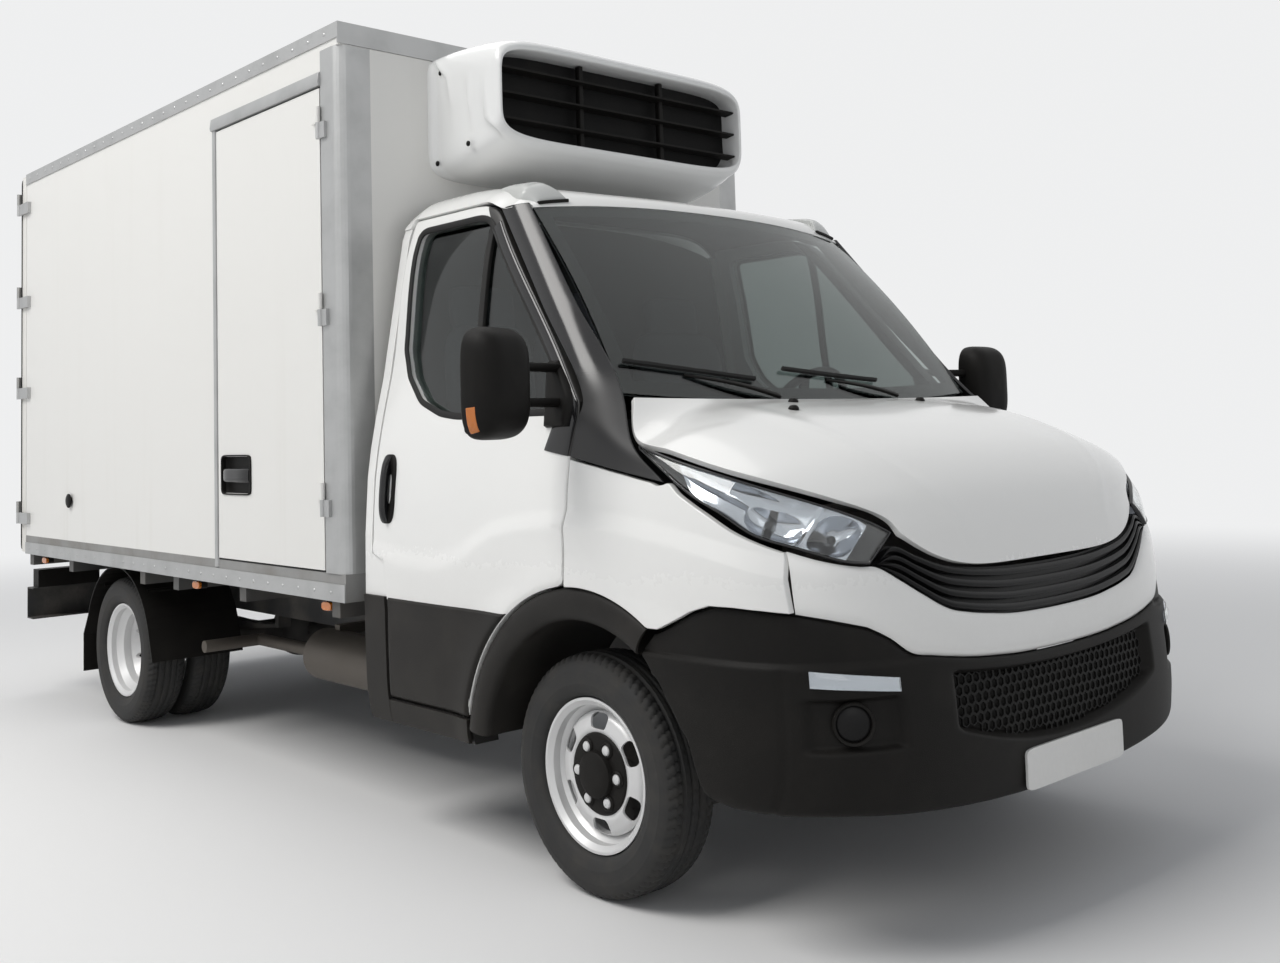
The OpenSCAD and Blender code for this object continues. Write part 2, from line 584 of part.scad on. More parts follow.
// Side door with a recess for its lock and a grip across the recess
lock_l = 258;
lock_h = 146;
lock_x = sd_rear + 42;
lock_z = load_z + 271;
lock_d = 27;
grip_in = 20;
grip_l = 208;
grip_h = 50;
grip_z = lock_z + 46;
module side_door() shift() color("WhiteSmoke") union() {
    difference() {
        block([sd_rear + sd_gap, sd_front - door_edge], [-box_w / 2, -wall_in],
              [load_z + door_edge, sd_top - door_edge]);
        block([lock_x, lock_x + lock_l], [-box_w / 2 - 1, -box_w / 2 + lock_d], [lock_z, lock_z + lock_h]);
    }
    block([lock_x + grip_in, lock_x + grip_in + grip_l], [-box_w / 2 + 2, -box_w / 2 + lock_d + 8],
          [grip_z, grip_z + grip_h]);
    for (z = side_hinge_z) let (z1 = z + hinge_h + run_gap) {
        barrel(side_hinge_x, side_hinge_y, z1);
        block([side_hinge_x - leaf_l - 2, side_hinge_x], [side_hinge_y - 1, -box_w / 2 + 1],
              [z1, z1 + hinge_h]);
    }
}

// Rear doors: each leaf with a locking bar in three keepers, and cranked hinge leaves
bar_r = 10;
bar_y = box_w / 4 - 30;
keeper_w = 60;
keeper_h = 40;
keeper_z = [box_z + 200, box_z + box_h / 2, box_top - 200];
module rear_door(left) shift() color("WhiteSmoke") right_or_left(left) union() {
    block([box_rear, box_rear + rear_door_t], [-box_w / 2 + 4, -3], [box_z + door_edge, box_top - door_edge]);
    translate([box_rear - bar_r - 1, -bar_y, box_z + 30]) cylinder(r = bar_r, h = box_h - 60, $fn = 24);
    for (z = keeper_z)
        block([box_rear - 14, box_rear + 5], [-bar_y - keeper_w / 2, -bar_y + keeper_w / 2],
              [z - keeper_h / 2, z + keeper_h / 2]);
    for (z = rear_hinge_z) let (z1 = z + hinge_h + run_gap) {
        barrel(rear_hinge_x, -rear_hinge_y, z1);
        block([rear_hinge_x - 6, rear_hinge_x + 6], [-rear_hinge_y, -box_w / 2 + 90], [z1, z1 + hinge_h]);
        block([rear_hinge_x - 6, box_rear + 2], [-box_w / 2 + 20, -box_w / 2 + 90], [z1, z1 + hinge_h]);
    }
}
module rear_door_right() rear_door(false);
module rear_door_left() rear_door(true);

/* Cooling unit */
cool_top = box_top - cooler_drop;
cool_z = cool_top - cooler_h;
cool_front = box_front + cooler_d;
// Shell rings: [share of the depth, side inset, rise of the underside, drop of the top, squareness]
shell_tab = [[0, 0, 0, 0, 9], [0.28, 1, 3, 0, 9], [0.57, 10, 21, 1, 8], [0.82, 22, 45, 5, 7],
             [0.94, 30, 67, 13, 6.5], [0.985, 36, 84, 25, 6], [1, 43, 97, 39, 6]];
shell_n = 48;
mouth_in = 55;
mouth_low = 113;
mouth_high = 55;
mouth_d = 120;
mouth_m = 7;
net_front = cool_front - 91;
slat_front = cool_front - 23;
slat_fall = 12;
slat_t = 14;
upright_w = 22;
function oval(y, z0, z1, m, n) = [for (i = [0:n - 1]) let (a = 360 * (i + 0.5) / n, c = cos(a), s = sin(a))
    [y * sign(c) * pow(abs(c), 2 / m), (z0 + z1) / 2 + (z1 - z0) / 2 * sign(s) * pow(abs(s), 2 / m)]];
function shell_ring(r) =
    [for (p = oval(cooler_w / 2 - r[1], cool_z + r[2], cool_top - r[3], r[4], shell_n))
        [box_front + r[0] * cooler_d, p[0], p[1]]];
function mouth(in) =
    oval(cooler_w / 2 - mouth_in - in, cool_z + mouth_low + in, cool_top - mouth_high - in, mouth_m, shell_n);
module cooler_housing() shift() color("Gainsboro") difference() {
    loft([for (r = shell_tab) shell_ring(r)]);
    along_x(cool_front - mouth_d, cool_front + 1) polygon(mouth(0));
}
module cooler_grille() shift() color("DimGray") union() {
    along_x(cool_front - mouth_d + 0.5, net_front) polygon(mouth(2));
    along_x(net_front - 4, slat_front - 1) intersection() {
        polygon(mouth(3));
        for (s = [-1, 1])
            translate([s * cooler_w / 6.4 - upright_w / 2, cool_z]) square([upright_w, cooler_h]);
    }
    for (u = [0.2, 0.5, 0.8]) let (z = lerp(cool_z + mouth_low, cool_top - mouth_high, u))
        along_y(-cooler_w / 2 + mouth_in + 8, cooler_w / 2 - mouth_in - 8) polygon([
            [net_front - 2, z], [slat_front, z - slat_fall], [slat_front, z - slat_fall + slat_t / 2],
            [net_front - 2, z + slat_t]]);
}

/* Cab */
function cab_section(z0, z1, t) =
    let (between = [for (r = width_tab) if (r[0] > z0 && r[0] < z1) r[0]])
    [for (z = concat([z0], between, [z1])) [-half_w(z) + t, z]];
module cab_skin(z0, z1, t) polygon(concat(cab_section(z0, z1, 0), back(cab_section(z0, z1, t))));
// Door edges, floor height, bulkhead place, and thicknesses of the cab's sheets and frames
door_front = -shut_gap / 2;
door_rear = -cab_rear + 52;
door_step = 90;
door_low = sill_z + 92;
door_top = cz(2078);
lip_r = arch_r + lip_w;
lip_edge = lip_r + shut_gap;
arch_z = wheel_r;
floor_z = 822;
floor_sheet = 30;
floor_in = 40;
dash_wall = 100;
dash_wall_t = 30;
side_in = 36;
back_t = 40;
roof_t = 42;
cab_mount = 68;
shell_top = door_top + shut_gap + 1;
wall_z = concat([floor_z], heights([1000, 1200, 1300, 1370]));
module cab_floor() shift() color("LightGray") union() {
    block([-cab_rear + back_t, dash_wall + dash_wall_t],
          [-cab_half_w + door_t + floor_in, cab_half_w - door_t - floor_in],
          [floor_z, floor_z + floor_sheet]);
    along_x(dash_wall, dash_wall + dash_wall_t) polygon(concat(
        [for (z = wall_z) [-half_w(z) + side_in, z]], [for (z = back(wall_z)) [half_w(z) - side_in, z]]));
    for (x = [-cab_rear + 90, 20], s = [-1, 1]) let (y = s * (rail_y - side_in))
        block([x - 45, x + 45], [y - cab_mount / 2, y + cab_mount / 2], [rail_top, floor_z + 5]);
}

// Roof: rows run back from the windscreen and fall to the sides by a power of the width
roof_edge = cz(2104);
roof_crown = roof_z - roof_edge;
function roof_pt(u, v, t) =
    let (xf = cx(-380) + cx(-34) * pow(abs(v), 2.5), c = roof_crown * (0.55 + 0.45 * sin(min(90, 130 * u))))
    [lerp(xf, -cab_rear, u), v * (half_w(roof_edge) - t * 0.4),
     max(roof_edge - t + c * (1 - pow(abs(v), 2.8)), shell_top)];
module cab_roof() shift() color("White") panel(
    [for (i = [0:6]) [for (j = [-7:7]) roof_pt(i / 6, j / 7, 0)]],
    [for (i = [0:6]) [for (j = [-7:7]) roof_pt(i / 6, j / 7, roof_t)]], true);
back_low = rail_top + 30;
module cab_back() shift() color("White") along_x(-cab_rear, -cab_rear + back_t)
    let (side = cab_section(back_low, door_top, door_t + 2)) polygon(concat(
        side, [for (i = [-6:6]) let (p = roof_pt(1, i / 7, roof_t)) [p[1], p[2] - 0.5]],
        [for (p = back(side)) [-p[0], p[1]]]));

// Door and window outlines in side view, from the lower rear corner forward and round
function arch_foot(z) = [arch_x - sqrt(lip_edge * lip_edge - pow(z - arch_z, 2)), z];
function door_outline() = concat(
    [[door_rear + door_step, door_low], arch_foot(door_low)],
    arc(arch_x, arch_z, lip_edge, 158, 90 + asin((arch_x - door_front) / lip_edge), 8),
    [[door_front, cz(1262)]],
    cab_xz([[18, 1380], [14, 1424], [-430, 2060]]),
    [[cx(-452), door_top], [door_rear, door_top], [door_rear, cz(940)], [door_rear + door_step, cz(915)]]);
function window_outline() = cab_xz([
    [-980, 1960], [-976, 1640], [-930, 1545], [-830, 1455], [-700, 1410], [-600, 1398], [-110, 1398],
    [-62, 1412], [-52, 1440], [-462, 2018], [-500, 2036], [-930, 2036], [-968, 2012]]);
function shell_outline() =
    let (x0 = door_rear - shut_gap, x1 = x0 + door_step, z0 = door_low - shut_gap) concat(
    [[-cab_rear, sill_z], arch_foot(sill_z), arch_foot(z0), [x1, z0], [x1, cz(910)], [x0, cz(936)]],
    [[x0, shell_top], [-cab_rear, shell_top]]);
// The right flank of the cab over an outline in side view
module flank(t, top) intersection() {
    along_x(-cab_rear, 100) cab_skin(sill_z, top, t);
    along_y(-cab_half_w - 95, -cab_half_w / 2) children();
}
module cab_sides() shift() color("White") both_sides() flank(door_t, shell_top) polygon(shell_outline());

door_hinge_y = cab_half_w + 10;
door_hinge_z = heights([950, 1100]);
door_hinge_r = 8;
door_hinge_h = 40;
door_leaf = 30;
// One knuckle of a cab door hinge with its leaf, on the door's or the fender's side of the axis
module door_knuckle(z, side) {
    translate([0, -door_hinge_y, z]) cylinder(r = door_hinge_r, h = door_hinge_h, $fn = 32);
    block([min(0, side * door_leaf), max(0, side * door_leaf)], [-door_hinge_y - 2, -cab_half_w + 24],
          [z, z + door_hinge_h]);
}
module door_shell(left) shift() color("White") right_or_left(left) union() {
    flank(door_t, door_top + 20) difference() {
        polygon(door_outline());
        polygon(window_outline());
    }
    for (z = door_hinge_z) door_knuckle(z + door_hinge_h + run_gap, -1);
}
module door_right() door_shell(false);
module door_left() door_shell(true);
// The panes lie inside the skin by a set-back
glass_in = 26;
module door_glass(left) shift() color("SteelBlue") right_or_left(left) intersection() {
    translate([0, glass_in, 0]) along_x(-cab_rear, 100) cab_skin(sill_z, door_top + 20, glass_t);
    along_y(-cab_half_w - 95, -cab_half_w / 2) polygon(window_outline());
}
module door_glass_right() door_glass(false);
module door_glass_left() door_glass(true);

// Door mirrors: place, housing sizes, toe-in, and the arms as [x, z]
mirror_y = cab_half_w + 107;
mirror_x = cx(-40);
mirror_z = cz(1450);
mirror_w = 228;
mirror_h = 362;
mirror_d = 116;
mirror_back = 20;
mirror_r = 44;
mirror_toe = 8;
arm_tab = cab_xz([[-36, 1402], [-46, 1470]]);
arm_r = 14;
module door_mirror(left) shift() color("DimGray") right_or_left(left) union() {
    translate([mirror_x, -mirror_y - mirror_w / 2, mirror_z - 1]) rotate([0, 0, mirror_toe])
        along_x(-mirror_back, mirror_d - mirror_back)
            polygon(round_rect(-mirror_w / 2, -mirror_h / 2, mirror_w / 2, mirror_h / 2, mirror_r));
    for (a = arm_tab) difference() {
        translate([a[0], -half_w(a[1]) + 20, a[1]]) rotate([90, 0, 0])
            cylinder(r = arm_r, h = mirror_y - half_w(a[1]) + 60, $fn = 24);
        along_x(-cab_rear, 100) cab_skin(sill_z, door_top, door_t);
    }
}
module mirror_right() door_mirror(false);
module mirror_left() door_mirror(true);

// Windscreen by height u and width v: a bowed blend of its lower and upper edges, each as [x, half width, z]
screen_low = cab_xyz([182, 868, 1412]);
screen_top = cab_xyz([-366, 780, 2142]);
screen_bow = 24;
function screen_pt(u, v, t) =
    let (w = abs(v), bow = screen_bow * sin(180 * u),
         low = screen_low + [cx(-66) * pow(w, 2.2), 0, cz(34) * w * w],
         top = screen_top + [cx(-34) * pow(w, 2.5), 0, cz(-62) * pow(w, 2.5)], p = lerp(low, top, u))
    [p[0] + (bow - t) * 0.75, p[1] * v, p[2] + (bow - t) * 0.6];
module windscreen() shift() color("SteelBlue") panel(
    [for (i = [0:5]) [for (j = [-6:6]) screen_pt(i / 5, j / 6, 0)]],
    [for (i = [0:5]) [for (j = [-6:6]) screen_pt(i / 5, j / 6, glass_t)]], true);

// Pillar covers by height: rear edge then front edge, each as [x, half width, z]
pillar_tab = [
    [[4, 981, 1266], [398, 984, 1196]], [[24, 964, 1376], [262, 972, 1302]],
    [[26, 946, 1426], [150, 898, 1432]], [[-206, 884, 1750], [-122, 848, 1752]],
    [[-434, 818, 2080], [-392, 800, 2082]]];
pillar_t = 34;
pillar_bow = 14;
function pillar_pt(r, v, t) =
    let (a = lerp(cab_xyz(pillar_tab[r][0]), cab_xyz(pillar_tab[r][1]), v), b = pillar_bow * sin(180 * v))
    [a[0] + b * 0.6 - t * 0.3 * v, -a[1] - b + t * (1 - 0.6 * v), a[2]];
module pillars() shift() color("DimGray") both_sides() panel(
    [for (i = [0:4]) [for (j = [0:4]) pillar_pt(i, j / 4, 0)]],
    [for (i = [0:4]) [for (j = [0:4]) pillar_pt(i, j / 4, pillar_t)]], true);

// Scuttle below the windscreen, with the fixed knuckles of the bonnet hinges and a rest in the middle
bonnet_hinge_x = cx(150);
bonnet_hinge_z = cz(1412);
bonnet_pin_r = 7;
bonnet_pin_y = 730;
bonnet_pin_l = 30;
cowl_x = cx(60);
cowl_front = cx(172);
cowl_low = wall_z[len(wall_z) - 1] + run_gap;
cowl_top = cz(1396);
cowl_half = 800;
module cowl() shift() color("DimGray") union() {
    along_y(-cowl_half, cowl_half) polygon([
        [cowl_x, cowl_low], [cowl_front, cowl_low], [cowl_front, cowl_top - 12], [cowl_front - 22, cowl_top],
        [cowl_x, cowl_top]]);
    both_sides() let (y = -bonnet_pin_y - run_gap) {
        rod_y(bonnet_hinge_x, bonnet_hinge_z, bonnet_pin_r, y - bonnet_pin_l, y);
        block([bonnet_hinge_x - bonnet_pin_r, bonnet_hinge_x + bonnet_pin_r], [y - bonnet_pin_l, y],
              [cowl_top - 16, bonnet_hinge_z]);
    }
    block([cowl_front - 22, cowl_front + 8], [-20, 20], [cowl_top - 16, cowl_top + 10.9]);
}

/* Nose */
// Stations round the nose (see nose_xy) and the heights of the panels' edges at each of them
side_s = [-35, -1, 0.0064, 0.02, 0.0332, 0.05, 0.1, 0.17, 0.26, 0.36,
          0.47, 0.58, 0.64, 0.7, 0.76, 0.82, 0.87, 0.92, 0.96, 1];
bumper_low = heights([735, 690, 625, 560, 515, 400, 376, 372, 372, 375,
                      375, 370, 366, 362, 357, 352, 347, 342, 338, 336]);
bumper_high = heights([752, 790, 812, 832, 846, 860, 880, 880, 875, 868,
                       852, 830, 800, 756, 742, 730, 720, 712, 705, 701]);
// The front panel starts at the tenth station and the grille at the thirteenth
panel_first = 9;
grille_first = 12;
panel_high = heights([996, 984, 982, 976, 940, 898, 856, 838, 825, 815, 810]);
lip_high = heights([994, 1034, 1006, 978, 962, 951, 944, 940]);
function panel_top(k) = panel_high[k - panel_first];
function lip_top(k) = lip_high[k - grille_first];
last_s = len(side_s) - 1;
// A band of the nose from one side to the other, between two heights at each station from first on
module nose_band(first, low, high, rows, t0, t1) {
    ks = concat([for (k = [first:last_s]) [k, -1]], [for (k = [last_s - 1:-1:first]) [k, 1]]);
    function pt(k, u, t) =
        let (z = lerp(low[k[0] - first], high[k[0] - first], u), p = nose_xy(side_s[k[0]], z, t))
        [p[0], k[1] * p[1], z];
    panel([for (i = [0:rows]) [for (k = ks) pt(k, i / rows, t0)]],
          [for (i = [0:rows]) [for (k = ks) pt(k, i / rows, t1)]], true);
}
// Width of the stays that tie the nose panels back, and the thickness of the bumper
stay_w = 40;
bumper_t = 40;
module bumper() shift() color("DimGray") union() {
    nose_band(0, bumper_low, bumper_high, 4, 0, bumper_t);
    both_sides() block([rail_front, nose_xy(0.87, cz(560))[0] - bumper_t / 2], [-rail_y + 4, -rail_in - 4],
                       [rail_bottom + 30, rail_top - 30]);
}
panel_t = 26;
rad_front = 760;
module front_panel() shift() color("White") union() {
    nose_band(panel_first, [for (k = [panel_first:last_s]) bumper_high[k] + seam_gap], panel_high,
              3, 0, panel_t);
    both_sides() block([rad_front, nose_xy(0.82, cz(780))[0] - panel_t / 2 - 1], [-rail_y - stay_w, -rail_y],
                       heights([740, 790]));
}
slat_d = 34;
slat_count = 3;
slat_pitch = 0.38;
slat_share = 0.22;
grille_stay_y = 330;
function slat_line(u) = [for (k = [grille_first:last_s]) lerp(panel_top(k) + 6, lip_top(k) - 7, u)];
module grille() shift() color("DimGray") {
    union() {
        nose_band(grille_first, [for (k = [grille_first:last_s]) panel_top(k) + seam_gap],
                  [for (k = [grille_first:last_s]) lip_top(k) - seam_gap - 1], 2, slat_d, slat_d + 12);
        both_sides() block([rad_front, nose_xy(0.92, cz(880))[0] - slat_d - 6],
                           [-grille_stay_y, -grille_stay_y + stay_w], heights([850, 900]));
    }
    for (i = [0:slat_count - 1])
        nose_band(grille_first, slat_line(i * slat_pitch), slat_line(i * slat_pitch + slat_share),
                  1, 0, slat_d - 0.5);
}
rad_w = 1280;
rad_top = cz(960);
lamp_bar_w = 1540;
lamp_bar_top = cz(1046);
module radiator() shift() color("Gray") union() {
    block([rail_front + 40, rad_front], [-rad_w / 2, rad_w / 2], [rail_top + 12, rad_top]);
    block([rail_front + 60, rad_front], [-lamp_bar_w / 2, lamp_bar_w / 2], [rad_top - 20, lamp_bar_top]);
    both_sides() block([rail_front - 60, rad_front - 10], [-rail_y, -rail_in], [rail_top, rail_top + 30]);
}

// Fenders by length: [x at the height of the bumper's top, height of the upper edge]
fender_tab = cab_xz([
    [4, 1258], [60, 1248], [120, 1238], [184, 1226], [240, 1216], [300, 1204], [345, 1196], [380, 1188],
    [408, 1190], [436, 1194], [470, 1170], [520, 1144], [580, 1114], [650, 1074], [715, 1044], [768, 1022]]);
fender_t = 24;
fender_turn = cx(345);
bumper_line = [for (k = [0:10]) [nose_xy(side_s[k], bumper_high[k])[0], bumper_high[k]]];
function arch_over(x) = arch_z + sqrt(max(0, pow(lip_r + 2.5, 2) - pow(x - arch_x, 2)));
function fender_low(x) =
    x < fender_turn ? arch_over(x) : max(arch_over(fender_turn), lookup(x, bumper_line) + seam_gap + 1);
// Ahead of the flank's turn a station leans back with the nose
function fender_pt(k, u, t) =
    let (x = fender_tab[k][0], z = lerp(fender_low(x), fender_tab[k][1], u),
         g = (nose_front(z) - blend_x) / (nose_front(cz(880)) - blend_x),
         xz = x < blend_x ? x : blend_x + (x - blend_x) * g)
    [xz, -side_y(xz, z) + t, z];
fender_last = len(fender_tab) - 1;
module fenders() shift() color("White") both_sides() union() {
    panel([for (i = [0:5]) [for (k = [0:fender_last]) fender_pt(k, i / 5, 0)]],
          [for (i = [0:5]) [for (k = [0:fender_last]) fender_pt(k, i / 5, fender_t)]], true);
    block([dash_wall + dash_wall_t, dash_wall + dash_wall_t + stay_w],
          [-cab_half_w + 12, -cab_half_w + 140], heights([960, 1060]));
    for (z = door_hinge_z) door_knuckle(z, 1);
}

// Head lamps along their length: upper edge then lower edge, each as [x, half width, z]
lamp_tab = [
    [[300, 972, 1294], [306, 973, 1283]], [[420, 971, 1262], [486, 984, 1172]],
    [[550, 958, 1230], [604, 974, 1113]], [[681, 910, 1191], [690, 948, 1060]],
    [[800, 782, 1134], [778, 888, 1027]], [[852, 690, 1094], [846, 800, 993]],
    [[878, 636, 1062], [876, 735, 984]]];
lamp_t = 60;
function lamp_pt(k, v, t) =
    let (a = lerp(cab_xyz(lamp_tab[k][0]), cab_xyz(lamp_tab[k][1]), lerp(0.07, 0.97, v)), c = k / 6)
    [a[0] - t * c, -a[1] + t * (1.1 - c) * min(1, 0.25 + 0.3 * k), a[2] - t * 0.12];
module headlamps() shift() color("LightSteelBlue") both_sides() union() {
    panel([for (j = [0:3]) [for (k = [0:6]) lamp_pt(k, j / 3, 0)]],
          [for (j = [0:3]) [for (k = [0:6]) lamp_pt(k, j / 3, lamp_t)]]);
    block([rad_front, cx(818)], [-cy(740), -cy(740) + stay_w], [cz(1000), cz(1000) + stay_w]);
}

// Bonnet stations: centre [x, z], edge [x, half width, z] and how flat the middle is
bonnet_tab = [
    [[214, 1422], [174, 878, 1432], 2.2], [[330, 1408], [264, 956, 1318], 4.0],
    [[470, 1380], [400, 962, 1284], 4.0], [[620, 1335], [560, 946, 1240], 3.6],
    [[760, 1268], [690, 896, 1202], 3.4], [[858, 1180], [798, 770, 1150], 3.6],
    [[914, 1076], [858, 650, 1100], 4.2], [[942, 950], [886, 612, 1056], 5.0]];
bonnet_t = 22;
function bonnet_pt(k, v, t) =
    let (b = bonnet_tab[k], w = pow(abs(v), b[2]), c = k / 7)
    [cx(lerp(b[0][0], b[1][0], w)) - t * c, cy(b[1][1]) * v * (1 - t / 1200 * (1 - c)),
     cz(lerp(b[0][1], b[1][2], w)) - t * (1.15 - c)];
module bonnet() shift() color("White") union() {
    both_sides() {
        rod_y(bonnet_hinge_x, bonnet_hinge_z, bonnet_pin_r, -bonnet_pin_y, -bonnet_pin_y + bonnet_pin_l);
        block([bonnet_hinge_x, bonnet_hinge_x + 76], [-bonnet_pin_y, -bonnet_pin_y + bonnet_pin_l],
              [bonnet_hinge_z - 6, bonnet_hinge_z + 5]);
    }
    panel([for (k = [0:7]) [for (j = [-8:8]) bonnet_pt(k, j / 8, 0)]],
          [for (k = [0:7]) [for (j = [-8:8]) bonnet_pt(k, j / 8, bonnet_t)]]);
}

// Wheel arches: a liner in two parts and a raised lip, all as arcs by angle round the arch's middle
lip_end = 58;
lip_out = 18;
liner_t = 6;
liner_in = -rail_y - 150;
module arch_band(r0, r1, a0, a1)
    polygon(concat(arc(arch_x, arch_z, r1, a0, a1, 20), arc(arch_x, arch_z, r0, a1, a0, 20)));
module wheel_arches() shift() color("DimGray") both_sides() union() {
    along_y(-cab_half_w + 4, liner_in) arch_band(arch_r, arch_r + liner_t, lip_end, 176);
    along_y(-cab_half_w + bumper_t + 12, liner_in) arch_band(arch_r, arch_r + liner_t, 40, lip_end + 1);
    along_y(-cab_half_w - lip_out, -cab_half_w + 30) arch_band(arch_r, lip_r, lip_end, 172);
}

/* Cab inside */
// Dashboard section and the steering column: foot of the column, tilt from upright and length
dash_half = cy(820);
dash_line = concat([[dash_wall, cz(1360)], [dash_wall, cz(940)]],
    cab_xz([[20, 930], [-90, 980], [-180, 1130], [-190, 1230], [-130, 1300], [-20, 1352]]));
column = cab_xyz([-150, 420, 1262]);
column_tilt = 55;
column_l = 170;
column_r = 36;
module on_column() translate(column) rotate([0, -column_tilt, 0]) children();
module dashboard() shift() color("DimGray") union() {
    along_y(-dash_half, dash_half) polygon(dash_line);
    on_column() cylinder(r = column_r, h = column_l);
}
// Steering wheel: radius of the ring's middle, ring, boss and three spokes
ring_r = 205;
grip_r = 16;
boss_r = 60;
boss_h = 30;
spoke_w = 40;
spoke_t = 14;
module steering_wheel() shift() color("DimGray") on_column() translate([0, 0, column_l + 0.4]) union() {
    rotate_extrude() translate([ring_r, grip_r]) circle(r = grip_r, $fn = 24);
    cylinder(r = boss_r, h = boss_h);
    for (a = [90, 210, 330])
        rotate(a) translate([0, -spoke_w / 2, 6]) cube([ring_r - 5, spoke_w, spoke_t]);
}
// Seat section in side view; the driver's seat and the double seat are told by their side edges
seat_low = floor_z + floor_sheet;
seat_line = concat([[cx(-480), seat_low]],
    cab_xz([[-480, 1010], [-435, 1065], [-450, 1105], [-860, 1085], [-930, 1760], [-1020, 1770],
            [-1040, 1700], [-960, 1080]]), [[cx(-940), seat_low]]);
seat_edges = [[180, 680], [-740, 60]];
module seats() shift() color("SlateGray") for (y = seat_edges) along_y(cy(y[0]), cy(y[1])) polygon(seat_line);

frame_rails();
crossmembers();
subframe();
front_axle();
engine();
rear_axle();
leaf_springs();
fuel_tank();
exhaust();
underrun_bar();
mudguards();
lamps_rear();
box_floor();
box_front_wall();
box_left_wall();
box_right_wall();
box_roof();
box_edging();
side_door();
rear_door_right();
rear_door_left();
cooler_housing();
cooler_grille();
cab_floor();
cab_back();
cab_roof();
cab_sides();
pillars();
windscreen();
cowl();
wheel_arches();
fenders();
bonnet();
front_panel();
grille();
bumper();
headlamps();
radiator();
dashboard();
steering_wheel();
seats();
door_right();
door_left();
door_glass_right();
door_glass_left();
mirror_right();
mirror_left();
knuckle_right();
knuckle_left();
wheel_front_right();
wheel_front_left();
tyre_front_right();
tyre_front_left();
wheels_rear_right();
wheels_rear_left();
tyres_rear_right();
tyres_rear_left();
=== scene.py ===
"""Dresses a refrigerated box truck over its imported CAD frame.

Lengths are metres in the row frame: +X forward, +Y to the vehicle's left, +Z up, the ground at Z = 0.
Body stations are given from the front axle and moved by AXLE_X when a mesh is made.
"""

from __future__ import annotations

import logging
import math
from dataclasses import dataclass
from enum import Enum
from typing import Any, ClassVar, Sequence

import bmesh
import bpy
import numpy as np
from mathutils import Matrix, Vector

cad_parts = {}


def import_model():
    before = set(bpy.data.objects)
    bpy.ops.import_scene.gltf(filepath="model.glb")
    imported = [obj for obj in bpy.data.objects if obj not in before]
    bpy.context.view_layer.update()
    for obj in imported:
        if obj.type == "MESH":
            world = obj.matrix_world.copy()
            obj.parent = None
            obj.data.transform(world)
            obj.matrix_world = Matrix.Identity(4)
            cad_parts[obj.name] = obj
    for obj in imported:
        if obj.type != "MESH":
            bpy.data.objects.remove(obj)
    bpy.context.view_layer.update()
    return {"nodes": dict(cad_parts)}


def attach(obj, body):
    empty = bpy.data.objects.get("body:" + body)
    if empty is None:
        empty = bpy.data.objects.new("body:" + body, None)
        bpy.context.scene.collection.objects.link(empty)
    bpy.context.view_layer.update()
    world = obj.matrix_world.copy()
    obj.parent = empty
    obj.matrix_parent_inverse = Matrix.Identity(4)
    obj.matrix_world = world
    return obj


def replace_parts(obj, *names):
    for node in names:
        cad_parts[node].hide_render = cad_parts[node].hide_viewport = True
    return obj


LOG = logging.getLogger("truck")
AXLE_X = 1.8295
RIGHT, LEFT = -1.0, 1.0
AHEAD, ASIDE, UP = (1.0, 0.0, 0.0), (0.0, -1.0, 0.0), (0.0, 0.0, 1.0)
Array = np.ndarray
Material = bpy.types.Material
Colour = tuple[float, float, float]
Point = tuple[float, float, float]


class Body(str, Enum):
    """The CAD bodies that pieces ride on."""

    CHASSIS = "chassis"
    BONNET = "bonnet"
    SIDE_DOOR = "side_door"


class Sock:
    """A shader value; its operators add Math nodes to the tree it came from."""

    def __init__(self, nodes: "Nodes", socket: Any) -> None:
        """Keeps the node tree and the output socket."""
        self.nodes, self.socket = nodes, socket

    def _math(self, op: str, *values: Any) -> "Sock":
        """Adds one Math node.

        Args:
            op: The node's operation.
            values: Numbers or Socks, in socket order.
        Returns:
            The node's value.
        """
        return self.nodes.node("ShaderNodeMath", {"operation": op}, dict(enumerate(values)))

    def __add__(self, other: Any) -> "Sock":
        """Sum."""
        return self._math("ADD", self, other)

    def __radd__(self, other: Any) -> "Sock":
        """Sum with the value on the right."""
        return self._math("ADD", other, self)

    def __sub__(self, other: Any) -> "Sock":
        """Difference."""
        return self._math("SUBTRACT", self, other)

    def __rsub__(self, other: Any) -> "Sock":
        """Difference with the value on the right."""
        return self._math("SUBTRACT", other, self)

    def __mul__(self, other: Any) -> "Sock":
        """Product."""
        return self._math("MULTIPLY", self, other)

    def __rmul__(self, other: Any) -> "Sock":
        """Product with the value on the right."""
        return self._math("MULTIPLY", other, self)

    def __pow__(self, other: Any) -> "Sock":
        """Power."""
        return self._math("POWER", self, other)

    def most(self, other: Any) -> "Sock":
        """The greater of two values."""
        return self._math("MAXIMUM", self, other)

    def wave(self) -> "Sock":
        """Sine of the value."""
        return self._math("SINE", self)

    def step(self, low: float, high: float) -> "Sock":
        """Smooth ramp from 0 at low to 1 at high, which may be the lower of the two."""
        values = {"Value": self, "From Min": low, "From Max": high}
        return self.nodes.node("ShaderNodeMapRange", {"interpolation_type": "SMOOTHSTEP"}, values)


